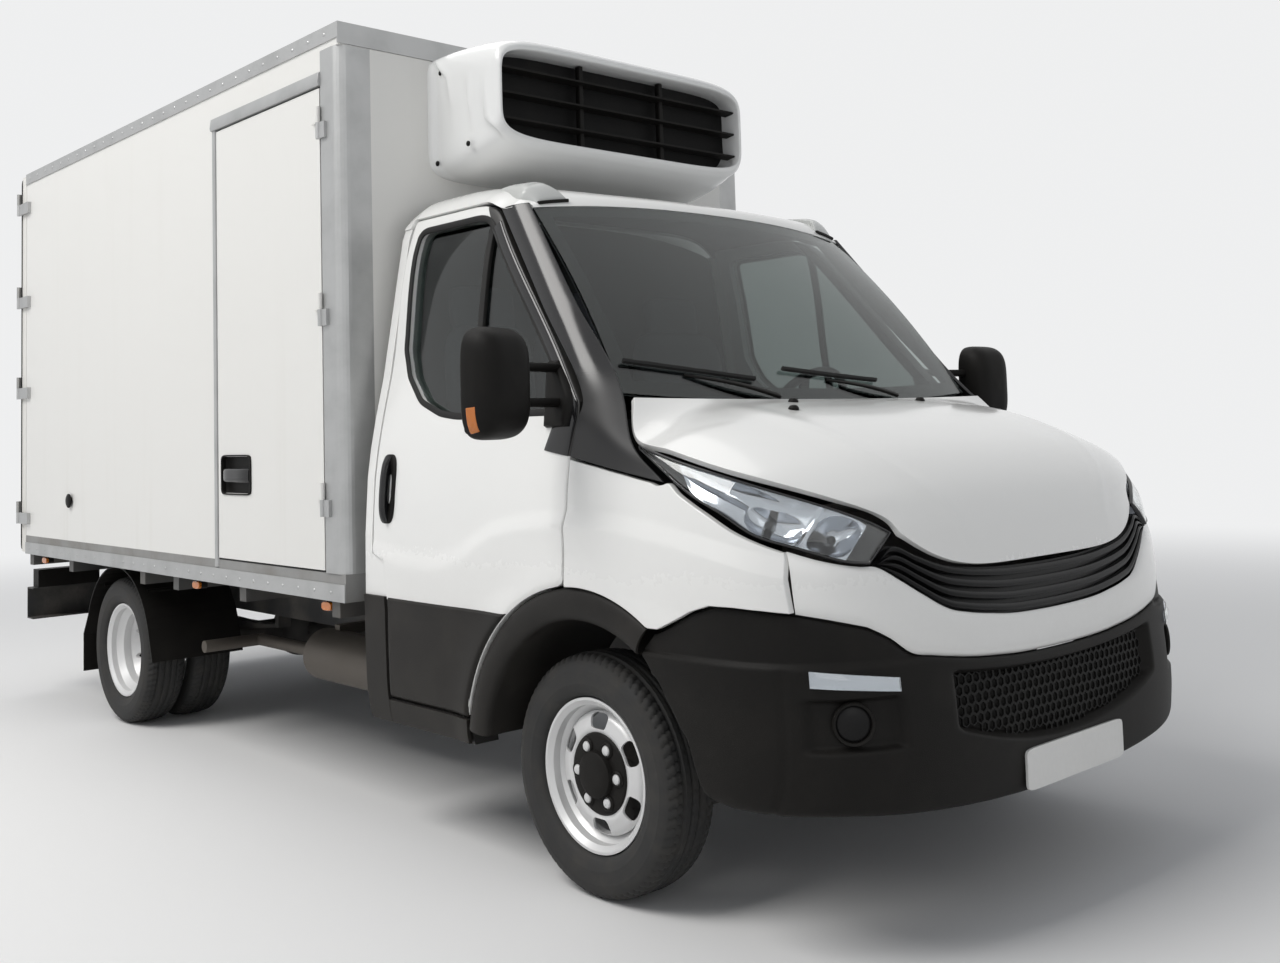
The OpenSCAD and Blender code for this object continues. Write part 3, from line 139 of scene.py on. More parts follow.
class Nodes:
    """A node tree, emptied and filled through feed and node."""

    def __init__(self, tree: bpy.types.NodeTree) -> None:
        """Keeps and empties the tree."""
        self.tree = tree
        tree.nodes.clear()

    def feed(self, target: Any, value: Any) -> None:
        """Links a Sock to an input socket, or sets the socket's own value."""
        if isinstance(value, Sock):
            self.tree.links.new(value.socket, target)
        else:
            target.default_value = value

    def node(self, kind: str, settings: dict | None = None, inputs: dict | None = None, out: Any = 0) -> Sock:
        """Adds one node.

        Args:
            kind: The node's type.
            settings: Its properties, set first.
            inputs: Values or Socks by socket name or number.
            out: The output to return.
        Returns:
            The chosen output.
        """
        made = self.tree.nodes.new(kind)
        for key, value in (settings or {}).items():
            setattr(made, key, value)
        for key, value in (inputs or {}).items():
            self.feed(made.inputs[key], value)
        return Sock(self, made.outputs[out])


class Graph(Nodes):
    """The node graph of one material."""

    def __init__(self, name: str) -> None:
        """Makes the material with an output and a Principled shader.

        Args:
            name: The material's name.
        """
        self.material = bpy.data.materials.new(name)
        self.material.use_nodes = True
        super().__init__(self.material.node_tree)
        self.out = self.tree.nodes.new("ShaderNodeOutputMaterial")
        self.shader = self.tree.nodes.new("ShaderNodeBsdfPrincipled")
        self.tree.links.new(self.shader.outputs[0], self.out.inputs[0])

    def coords(self, scale: Sequence[float] = (1, 1, 1)) -> Sock:
        """Object coordinates, stretched by scale."""
        raw = self.node("ShaderNodeTexCoord", out="Object")
        return self.node("ShaderNodeMapping", {}, {"Vector": raw, "Scale": tuple(scale)})

    def axis(self, letter: str) -> Sock:
        """One object coordinate, named X, Y or Z."""
        return self.node("ShaderNodeSeparateXYZ", {}, {0: self.coords()}, letter)

    def noise(self, scale: float, detail: float = 3, stretch: Sequence[float] = (1, 1, 1)) -> Sock:
        """Fractal noise from 0 to 1 on object coordinates."""
        values = {"Vector": self.coords(stretch), "Scale": scale, "Detail": detail, "Roughness": 0.55}
        return self.node("ShaderNodeTexNoise", {}, values)

    def cells(self, scale: float) -> Sock:
        """Distance to the nearest of scattered points."""
        return self.node("ShaderNodeTexVoronoi", {}, {"Vector": self.coords(), "Scale": scale})

    def blend(self, mask: Any, low: Any, high: Any) -> Sock:
        """Mixes two colours by a mask."""
        return self.node("ShaderNodeMix", {"data_type": "RGBA"}, {0: mask, 6: rgba(low), 7: rgba(high)}, 2)

    def bump(self, height: Sock, distance: float, strength: float = 1.0) -> Sock:
        """A normal from a height in units of distance."""
        return self.node("ShaderNodeBump", {}, {"Height": height, "Distance": distance, "Strength": strength})

    def dress(self, **sockets: Any) -> Material:
        """Feeds the Principled shader's sockets, named with _ for a space, and returns the material."""
        for key, value in sockets.items():
            target = self.shader.inputs[key.replace("_", " ")]
            self.feed(target, rgba(value) if target.type == "RGBA" and not isinstance(value, Sock) else value)
        return self.material


def rgba(colour: Any) -> Any:
    """A colour with its alpha; a Sock is left as it is."""
    return colour if isinstance(colour, Sock) or len(colour) == 4 else (*colour, 1.0)


@dataclass(frozen=True)
class Finish:
    """A surface finish; material() makes its node graph once."""

    name: str

    def material(self) -> Material:
        """The finish's material."""
        return bpy.data.materials.get(self.name) or self.build(Graph(self.name))

    def build(self, g: Graph) -> Material:
        """Fills the graph; each finish has its own.

        Args:
            g: The material's graph.
        Returns:
            The material.
        """
        raise NotImplementedError


@dataclass(frozen=True)
class Paint(Finish):
    """Gloss vehicle paint with orange peel, clear coat and road film low down; a part may be dark."""

    colour: Colour = (0.8, 0.8, 0.785)
    film: Colour = (0.42, 0.4, 0.36)
    film_top: float = 1.15
    moulding: Colour = (0.016, 0.015, 0.014)
    dark_axis: str = ""
    dark_at: tuple[float, float] = (0.0, 0.0)

    def dark(self, g: Graph) -> Any:
        """Where the surface is dark moulding: a step along one axis, or nowhere."""
        return g.axis(self.dark_axis).step(*self.dark_at) if self.dark_axis else None

    def build(self, g: Graph) -> Material:
        """Film fades from the sills up; fine noise breaks it, and a slow noise mottles the paint.

        Args:
            g: The material's graph.
        Returns:
            The material.
        """
        mottle = g.noise(1.6, 2)
        speck = g.noise(55, 4)
        film = g.axis("Z").step(self.film_top, 0.3) * (0.1 + 0.35 * speck * mottle)
        base = g.blend(mottle * 0.25, self.colour, tuple(c * 0.93 for c in self.colour))
        colour = g.blend(film, base, self.film)
        rough, coat, dark = 0.26 + 0.5 * film, 0.7, self.dark(g)
        if dark is not None:
            colour = g.blend(dark, colour, self.moulding)
            rough, coat = rough + 0.2 * dark, 0.7 - 0.6 * dark
        peel = g.bump(g.noise(160, 1), 0.0004, 0.06)
        return g.dress(Base_Color=colour, Roughness=rough, Coat_Weight=coat, Coat_Roughness=0.1, Normal=peel)


@dataclass(frozen=True)
class DoorPaint(Paint):
    """Cab door paint that is black ahead of the window."""

    def dark(self, g: Graph) -> Sock:
        """Ahead of the window's slanted front edge and, below that, ahead of the mirror foot's rear edge.

        Args:
            g: The material's graph.
        Returns:
            The mask, 1 where it is dark.
        """
        x, z = g.axis("X") - AXLE_X, g.axis("Z")
        upper = (0.7727 * (x + 0.052) + 0.635 * (z - 1.44)).step(-0.004, -0.002)
        lower = (0.934 * (x + 0.06) - 0.359 * (z - 1.442)).step(-0.001, 0.001)
        foot = (z + 0.16 * x).step(1.2658, 1.2678)
        high = z.step(1.441, 1.443)
        return high * upper + (1 - high) * lower * foot


@dataclass(frozen=True)
class BoxSkin(Finish):
    """Gel coated insulated panel: warm white, slightly wavy, with faint runs of dirt."""

    colour: Colour = (0.74, 0.735, 0.712)

    def build(self, g: Graph) -> Material:
        """Dirt runs are noise stretched downwards, stronger near the foot of the wall.

        Args:
            g: The material's graph.
        Returns:
            The material.
        """
        runs = g.noise(9, 4, (1, 1, 0.06)).step(0.52, 0.78)
        cloud = g.noise(1.1, 3)
        low = g.axis("Z").step(1.5, 0.76)
        dirt = runs * (0.05 + 0.14 * low) + cloud * 0.05
        colour = g.blend(dirt, self.colour, (0.5, 0.47, 0.4))
        wave = g.bump(g.noise(2.2, 1) + 0.04 * g.noise(90, 2), 0.004, 0.25)
        return g.dress(Base_Color=colour, Roughness=0.34 + 0.12 * cloud, Coat_Weight=0.25, Coat_Roughness=0.2,
                       Normal=wave)


@dataclass(frozen=True)
class DoorLeaf(Finish):
    """Rear door: a gel coated leaf whose bars, keepers and hinges, proud of its face, are zinc steel."""

    colour: Colour = (0.74, 0.73, 0.7)
    steel: Colour = (0.42, 0.42, 0.41)
    face: float = -4.633 + AXLE_X

    def build(self, g: Graph) -> Material:
        """A step in X just behind the face parts steel from leaf; dirt thickens towards the foot.

        Args:
            g: The material's graph.
        Returns:
            The material.
        """
        metal = g.axis("X").step(self.face - 0.0006, self.face - 0.0014)
        cloud = g.noise(4, 4)
        dirt = cloud * (0.05 + 0.2 * g.axis("Z").step(1.6, 0.76))
        leaf = g.blend(dirt, self.colour, (0.5, 0.47, 0.4))
        colour = g.blend(metal, leaf, g.blend(cloud * 0.6, self.steel, (0.26, 0.255, 0.25)))
        wave = g.bump(g.noise(2.2, 1) + 0.04 * g.noise(90, 2), 0.004, 0.25)
        return g.dress(Base_Color=colour, Metallic=0.85 * metal, Roughness=0.34 + 0.16 * cloud, Normal=wave)


@dataclass(frozen=True)
class Aluminium(Finish):
    """Anodised profile with drawn lines along its length and dull weathering."""

    colour: Colour = (0.46, 0.465, 0.465)
    stretch: Point = (0.02, 1, 1)

    def build(self, g: Graph) -> Material:
        """Drawn lines are noise stretched along the profile.

        Args:
            g: The material's graph.
        Returns:
            The material.
        """
        lines = g.noise(420, 2, self.stretch)
        cloud = g.noise(7, 4)
        colour = g.blend(cloud.step(0.35, 0.8) * 0.5, self.colour, tuple(c * 0.72 for c in self.colour))
        return g.dress(Base_Color=colour, Metallic=0.75, Roughness=0.36 + 0.16 * cloud + 0.08 * lines,
                       Normal=g.bump(lines, 0.0004, 0.25))


@dataclass(frozen=True)
class Plastic(Finish):
    """Moulded plastic with a grain; dust lies in its grain and low down."""

    colour: Colour = (0.022, 0.021, 0.02)
    rough: float = 0.55
    grain: float = 420.0
    depth: float = 0.0006
    dust: float = 0.25
    gloss: float = 0.3
    satin_below: float = 0.0

    def build(self, g: Graph) -> Material:
        """The grain is a fine cell pattern; dust follows a coarse noise and the height.

        Args:
            g: The material's graph.
        Returns:
            The material.
        """
        cells = g.cells(self.grain)
        cloud = g.noise(6, 4)
        dust = (cloud.step(0.4, 0.8) * 0.5 + 0.5 * g.axis("Z").step(1.0, 0.2)) * self.dust
        colour = g.blend(dust, self.colour, (0.17, 0.155, 0.135))
        rough = self.rough + 0.2 * dust
        if self.satin_below:
            rough = rough + 0.4 * g.axis("Z").step(self.satin_below + 0.1, self.satin_below - 0.02)
        return g.dress(Base_Color=colour, Roughness=rough, Specular_IOR_Level=self.gloss,
                       Normal=g.bump(cells, self.depth, 0.5))


@dataclass(frozen=True)
class Chassis(Finish):
    """Chassis paint or bare casting under dust and spray."""

    colour: Colour = (0.025, 0.025, 0.026)
    metal: float = 0.0
    rough: float = 0.5

    def build(self, g: Graph) -> Material:
        """Dust is a coarse noise, thicker on the wheels' spray side.

        Args:
            g: The material's graph.
        Returns:
            The material.
        """
        cloud = g.noise(5, 5)
        grit = g.noise(70, 4)
        dust = cloud.step(0.35, 0.75) * (0.25 + 0.45 * grit)
        colour = g.blend(dust, self.colour, (0.16, 0.145, 0.125))
        return g.dress(Base_Color=colour, Metallic=self.metal, Roughness=self.rough + 0.3 * dust,
                       Normal=g.bump(grit, 0.001, 0.3))


@dataclass(frozen=True)
class Rubber(Finish):
    """Tyre rubber, greyed with dust."""

    def build(self, g: Graph) -> Material:
        """Dust is noise over the tread and sidewall.

        Args:
            g: The material's graph.
        Returns:
            The material.
        """
        dust = g.noise(14, 5).step(0.35, 0.8)
        colour = g.blend(dust * 0.55, (0.014, 0.014, 0.014), (0.06, 0.056, 0.05))
        grain = g.bump(g.noise(300, 3), 0.0006, 0.35)
        return g.dress(Base_Color=colour, Roughness=0.72 + 0.2 * dust, Normal=grain)


@dataclass(frozen=True)
class WheelPaint(Finish):
    """Polished wheel metal with brake dust in patches."""

    colour: Colour = (0.56, 0.56, 0.555)

    def build(self, g: Graph) -> Material:
        """Brake dust is a broken noise.

        Args:
            g: The material's graph.
        Returns:
            The material.
        """
        dust = g.noise(16, 5).step(0.42, 0.8)
        flake = g.noise(900, 1)
        colour = g.blend(dust * 0.35, self.colour, (0.2, 0.17, 0.145))
        return g.dress(Base_Color=colour, Metallic=1.0, Roughness=0.13 + 0.25 * dust + 0.05 * flake,
                       Normal=g.bump(g.noise(60, 2), 0.0003, 0.15))


@dataclass(frozen=True)
class Glass(Finish):
    """Clear or tinted glass."""

    tint: Colour = (0.55, 0.6, 0.58)

    def build(self, g: Graph) -> Material:
        """A thin film of dust changes only the roughness.

        Args:
            g: The material's graph.
        Returns:
            The material.
        """
        film = g.noise(9, 4).step(0.5, 0.9)
        return g.dress(Base_Color=self.tint, Roughness=0.01 + 0.05 * film, Transmission_Weight=1.0, IOR=1.45)


@dataclass(frozen=True)
class Lens(Finish):
    """Coloured lamp lens with moulded ribs."""

    colour: Colour = (0.55, 0.02, 0.015)
    clear: float = 0.35

    def build(self, g: Graph) -> Material:
        """Ribs are a sine across the lens.

        Args:
            g: The material's graph.
        Returns:
            The material.
        """
        ribs = (g.axis("Y") * 900).wave()
        cloud = g.noise(40, 2)
        colour = g.blend(cloud * 0.3, self.colour, tuple(c * 0.6 for c in self.colour))
        return g.dress(Base_Color=colour, Roughness=0.12 + 0.05 * cloud, Transmission_Weight=self.clear,
                       Coat_Weight=0.6, Normal=g.bump(ribs, 0.0006, 0.4))


@dataclass(frozen=True)
class Cloth(Finish):
    """Woven seat cloth."""

    colour: Colour = (0.035, 0.036, 0.042)

    def build(self, g: Graph) -> Material:
        """The weave is two crossed sines with a noise in the yarn.

        Args:
            g: The material's graph.
        Returns:
            The material.
        """
        weave = (g.axis("Y") * 1900).wave() * (g.axis("Z") * 1900).wave()
        yarn = g.noise(240, 3)
        colour = g.blend(weave * 0.2 + yarn * 0.4, self.colour, tuple(c * 2.2 for c in self.colour))
        return g.dress(Base_Color=colour, Roughness=0.85 + 0.1 * yarn, Sheen_Weight=0.3,
                       Normal=g.bump(weave, 0.0006, 0.5))


@dataclass(frozen=True)
class Bright(Finish):
    """Bright reflector or mirror metal."""

    colour: Colour = (0.85, 0.86, 0.87)
    rough: float = 0.08

    def build(self, g: Graph) -> Material:
        """A faint haze changes the roughness.

        Args:
            g: The material's graph.
        Returns:
            The material.
        """
        haze = g.noise(30, 3)
        return g.dress(Base_Color=self.colour, Metallic=1.0, Roughness=self.rough + 0.08 * haze)


class Finishes:
    """The truck's finishes by name."""

    WHITE = Paint("white_paint")
    CAB_SIDE = Paint("cab_side_paint", dark_axis="Z", dark_at=(0.796, 0.794))
    CAB_BACK = Paint("cab_back_paint", dark_axis="X", dark_at=(0.752, 0.758))
    DOOR = DoorPaint("door_paint")
    MAT = Plastic("floor_mat", (0.015, 0.015, 0.015), 0.75, 90.0, 0.001, 0.25, 0.2)
    MARKER = Plastic("marker_lens", (0.5, 0.51, 0.5), 0.22, 60.0, 0.0002, 0.08, 0.5)
    COOLER = Paint("cooler_shell", (0.74, 0.745, 0.74), (0.45, 0.43, 0.4), 2.45)
    BOX = BoxSkin("box_panel")
    EDGE = Aluminium("edge_profile")
    BLACK = Plastic("bumper_plastic", (0.007, 0.0065, 0.006), 0.5, 420.0, 0.0006, 0.05, 0.12)
    CLADDING = Plastic("cladding_plastic", (0.014, 0.013, 0.012), 0.5, 380.0, 0.0006, 0.12, 0.16)
    NET = Plastic("net_black", (0.006, 0.006, 0.006), 0.6, 300.0, 0.0008, 0.05, 0.15)
    GLOSS_BLACK = Plastic("gloss_black", (0.01, 0.01, 0.011), 0.12, 30.0, 0.00005, 0.05, 0.5)
    SLAT = Plastic("slat_black", (0.006, 0.006, 0.0065), 0.3, 200.0, 0.0003, 0.04, 0.16)
    PILLAR = Plastic("pillar_cover", (0.01, 0.01, 0.011), 0.16, 30.0, 0.00005, 0.05, 0.5, 1.45)
    TRIM = Plastic("inner_trim", (0.03, 0.03, 0.033), 0.6, 500.0, 0.0005, 0.0)
    SEAL = Plastic("rubber_seal", (0.012, 0.012, 0.012), 0.7, 200.0, 0.0003, 0.1)
    FRAME = Chassis("chassis_black")
    IRON = Chassis("axle_iron", (0.05, 0.048, 0.046), 0.3, 0.6)
    PIPE = Chassis("pipe_steel", (0.13, 0.115, 0.1), 0.7, 0.5)
    SUBFRAME = Chassis("subframe_steel", (0.085, 0.084, 0.082), 0.4, 0.5)
    STEEL = Chassis("zinc_steel", (0.42, 0.42, 0.41), 0.85, 0.34)
    TANK = Plastic("tank_plastic", (0.02, 0.02, 0.021), 0.5, 120.0, 0.0004, 0.4)
    TYRE = Rubber("tyre_rubber")
    WHEEL = WheelPaint("wheel_silver")
    WINDOW = Glass("tinted_window", (0.3, 0.34, 0.33))
    CLEAR = Glass("clear_lens", (0.93, 0.95, 0.95))
    RED = Lens("red_lens")
    AMBER = Lens("amber_lens", (0.8, 0.22, 0.01))
    CLOTH = Cloth("seat_cloth")
    CHROME = Bright("reflector")
    # the blue tint in the bowl metal's colour is a painted reflection of the sky
    BOWL = Bright("lamp_bowl", (0.5, 0.52, 0.56), 0.1)
    LEAF = DoorLeaf("rear_door_leaf")
    FLOOR = Chassis("load_floor", (0.26, 0.26, 0.255), 0.0, 0.6)


FINISH_NODES: dict[Finish, str] = {
    Finishes.FRAME: "frame_rails crossmembers underrun_bar",
    Finishes.SUBFRAME: "subframe",
    Finishes.IRON: "front_axle rear_axle leaf_springs knuckle_right knuckle_left engine radiator",
    Finishes.TANK: "fuel_tank",
    Finishes.PIPE: "exhaust",
    Finishes.BLACK: "mudguards cowl wheel_arches grille bumper mirror_right mirror_left cooler_grille "
                    "lamps_rear",
    Finishes.GLOSS_BLACK: "pillars",
    Finishes.FLOOR: "box_floor",
    Finishes.BOX: "box_front_wall box_left_wall box_right_wall box_roof side_door",
    Finishes.LEAF: "rear_door_right rear_door_left",
    Finishes.EDGE: "box_edging",
    Finishes.COOLER: "cooler_housing",
    Finishes.WHITE: "cab_roof fenders bonnet front_panel door_right door_left",
    Finishes.CAB_SIDE: "cab_sides",
    Finishes.CAB_BACK: "cab_back",
    Finishes.MAT: "cab_floor",
    Finishes.WINDOW: "windscreen door_glass_right door_glass_left",
    Finishes.CHROME: "headlamps",
    Finishes.TRIM: "dashboard steering_wheel",
    Finishes.CLOTH: "seats",
    Finishes.TYRE: "tyre_front_right tyre_front_left tyres_rear_right tyres_rear_left",
    Finishes.WHEEL: "wheel_front_right wheel_front_left wheels_rear_right wheels_rear_left",
}
NODE_FINISH = {node: finish for finish, nodes in FINISH_NODES.items() for node in nodes.split()}


@dataclass
class Studio:
    """Camera, floor and soft light."""

    place: Point = (2.921 + AXLE_X, -3.3972, 1.3388)
    azimuth: float = 47.84
    elevation: float = -3.77
    roll: float = -1.6
    focal_px: float = 1300.87
    centre_px: tuple[float, float] = (-15.77, -137.15)
    image_px: tuple[int, int] = (1280, 963)
    pale: Colour = (0.86, 0.865, 0.87)
    sky: Colour = (0.88, 0.91, 0.96)
    sky_strength: float = 0.38
    warm: Colour = (1.0, 0.985, 0.96)
    floor_half: float = 60.0
    floor_fade: tuple[float, float] = (4.5, 13.0)
    lamps: tuple = (("key", (-0.8, -7.4, 10.0), (-0.4, 0.0, 1.3), 6.0, 890.0),
                    ("front", (9.5, -4.5, 5.0), (1.5, 0.0, 1.0), 5.0, 55.0),
                    ("top", (-3.4, 0.5, 9.5), (-1.6, 0.0, 1.0), 7.0, 160.0))

    def camera(self) -> None:
        """Sets the camera from its solved place, turn and principal point."""
        a, e, r = (math.radians(v) for v in (self.azimuth, self.elevation, self.roll))
        back = Vector((math.sin(a) * math.cos(e), -math.cos(a) * math.cos(e), math.sin(e)))
        right = Vector((math.cos(a), math.sin(a), 0))
        up = back.cross(right)
        side, head = right * math.cos(r) + up * math.sin(r), up * math.cos(r) - right * math.sin(r)
        data = bpy.data.cameras.new("camera")
        data.sensor_width, data.sensor_fit = 36.0, "HORIZONTAL"
        data.lens = 36.0 * self.focal_px / self.image_px[0]
        wide = self.image_px[0]
        data.shift_x, data.shift_y = -self.centre_px[0] / wide, self.centre_px[1] / wide
        data.clip_end = 200
        camera = bpy.data.objects.new("camera", data)
        turn = Matrix((side, head, back)).transposed().to_4x4()
        camera.matrix_world = Matrix.Translation(self.place) @ turn
        bpy.context.scene.collection.objects.link(camera)
        bpy.context.scene.camera = camera

    def floor(self) -> None:
        """A plain pale floor that turns into the backdrop's colour far out."""
        size = self.floor_half
        mesh = bpy.data.meshes.new("floor")
        corner = [(-size, -size, 0), (size, -size, 0), (size, size, 0), (-size, size, 0)]
        mesh.from_pydata(corner, [], [(0, 1, 2, 3)])
        g = Graph("floor_pale")
        shade = g.noise(0.8, 3)
        g.dress(Base_Color=g.blend(shade * 0.12, (0.8, 0.8, 0.8), (0.74, 0.74, 0.74)), Roughness=0.85)
        far = (g.axis("X") ** 2 + g.axis("Y") ** 2) ** 0.5
        glow = g.node("ShaderNodeEmission", {}, {"Color": rgba(self.pale), "Strength": 1.0})
        fade, near = far.step(*self.floor_fade), Sock(g, g.shader.outputs[0])
        g.feed(g.out.inputs[0], g.node("ShaderNodeMixShader", {}, {0: fade, 1: near, 2: glow}))
        mesh.materials.append(g.material)
        made = bpy.data.objects.new("floor", mesh)
        bpy.context.scene.collection.objects.link(made)

    def light(self) -> None:
        """A soft sky with a pale backdrop for camera, glossy and transmission rays, and three broad lamps."""
        world = bpy.data.worlds.new("sky")
        bpy.context.scene.world = world
        world.use_nodes = True
        g = Nodes(world.node_tree)
        kinds = ("Is Camera Ray", "Is Glossy Ray", "Is Transmission Ray")
        rays = [g.node("ShaderNodeLightPath", out=kind) for kind in kinds]
        seen = rays[0].most(rays[1]).most(rays[2])
        soft = g.node("ShaderNodeBackground", {}, {"Color": rgba(self.sky), "Strength": self.sky_strength})
        plain = g.node("ShaderNodeBackground", {}, {"Color": rgba(self.pale), "Strength": 1.0})
        mix = g.node("ShaderNodeMixShader", {}, {0: seen, 1: soft, 2: plain})
        g.feed(g.tree.nodes.new("ShaderNodeOutputWorld").inputs[0], mix)
        for name, place, aim, size, power in self.lamps:
            data = bpy.data.lights.new(name, "AREA")
            data.energy, data.size, data.color = power, size, self.warm
            lamp = bpy.data.objects.new(name, data)
            lamp.matrix_world = (Vector(place) - Vector(aim)).to_track_quat("Z", "Y").to_matrix().to_4x4()
            lamp.location = place
            bpy.context.scene.collection.objects.link(lamp)

    def build(self) -> None:
        """Makes the camera, the floor and the light."""
        bpy.context.scene.view_settings.view_transform = "Standard"
        self.camera()
        self.floor()
        self.light()


def curve(at: Any, knots: Sequence[float], values: Any) -> Array:
    """Smooth curve through values at knots, held at its ends.

    Each span is the cubic whose end slopes are those of the parabolas through neighbouring points.

    Args:
        at: Where to read the curve, any shape.
        knots: Rising knot places.
        values: One value, or one row of values, per knot.
    Returns:
        The values, with a row's columns as a last axis.
    """
    k, v = np.asarray(knots, float), np.asarray(values, float)
    flat = v.reshape(len(k), -1)
    h = np.diff(k)[:, None]
    d = np.diff(flat, axis=0) / h
    slope = np.vstack([d[:1], (d[:-1] * h[1:] + d[1:] * h[:-1]) / (h[:-1] + h[1:]), d[-1:]])
    x = np.clip(np.asarray(at, float), k[0], k[-1])
    i = np.clip(np.searchsorted(k, x, side="right") - 1, 0, len(k) - 2)
    t = ((x - k[i]) / h[i, 0])[..., None]
    run = h[i]
    out = ((1 + 2 * t) * (1 - t) ** 2 * flat[i] + t * (1 - t) ** 2 * run * slope[i]
           + t * t * (3 - 2 * t) * flat[i + 1] + t * t * (t - 1) * run * slope[i + 1])
    return out[..., 0] if v.ndim == 1 else out


def ramp(x: Any, low: float, high: float) -> Array:
    """Smooth step from 0 at low to 1 at high; low may be the greater."""
    t = np.clip((np.asarray(x, float) - low) / (high - low), 0, 1)
    return t * t * (3 - 2 * t)


def bell(x: Any, at: Any, wide: float, power: int = 2) -> Array:
    """A bell: e to the minus power of the distance from its middle, in widths."""
    return np.exp(-((x - at) / wide) ** power)


def points(*axes: Any) -> Array:
    """Coordinates side by side: arrays and numbers spread to one shape, with the axes last."""
    return np.stack(np.broadcast_arrays(*axes), axis=-1)


def steps(count: int) -> Array:
    """Equal steps from 0 to 1 as a column, to run down the rows of a grid."""
    return np.linspace(0, 1, count)[:, None]


def turn_by(count: int) -> Array:
    """Angles of one full turn in equal steps, the end left off."""
    return np.linspace(0, 2 * np.pi, count, endpoint=False)


def walk(line: Any, counts: Sequence[int]) -> Array:
    """Points spread along each straight span of a line, the last one of each span left off.

    Args:
        line: Corners of the line, one more than counts.
        counts: How many points each span gets.
    Returns:
        The spread points, in order.
    """
    p = np.asarray(line, float)
    return np.vstack([a + (b - a) * np.linspace(0, 1, n, endpoint=False)[:, None]
                      for a, b, n in zip(p[:-1], p[1:], counts)])


def soften(loop: Array, times: int) -> Array:
    """Rounds a closed loop by averaging each point with its neighbours."""
    for _ in range(times):
        loop = 0.5 * loop + 0.25 * (np.roll(loop, 1, axis=0) + np.roll(loop, -1, axis=0))
    return loop


def resample(line: Array, count: int, closed: bool = False) -> Array:
    """Points at equal steps of length along a line.

    Args:
        line: Corners of the line.
        count: How many points it gets.
        closed: Whether the last corner runs on to the first.
    Returns:
        The points.
    """
    p = np.vstack([line, line[:1]]) if closed else np.asarray(line, float)
    length = np.concatenate([[0], np.cumsum(np.linalg.norm(np.diff(p, axis=0), axis=1))])
    at = np.linspace(0, length[-1], count, endpoint=not closed)
    return np.stack([np.interp(at, length, p[:, c]) for c in range(p.shape[1])], axis=1)


def signed(q: Array, power: Any) -> Array:
    """A power that keeps the sign."""
    return np.sign(q) * np.abs(q) ** power


def oval(across: float, up: float, count: int, power: float = 2.0) -> Array:
    """Closed superellipse with the given half sizes, as (count, 2) points."""
    a = turn_by(count)
    return points(across * signed(np.cos(a), 2 / power), up * signed(np.sin(a), 2 / power))


def hand(side: float) -> str:
    """The word for a side."""
    return "right" if side < 0 else "left"


def joined(forms: Sequence["Form"]) -> "Form":
    """Several forms in one."""
    return sum(forms[1:], forms[0])


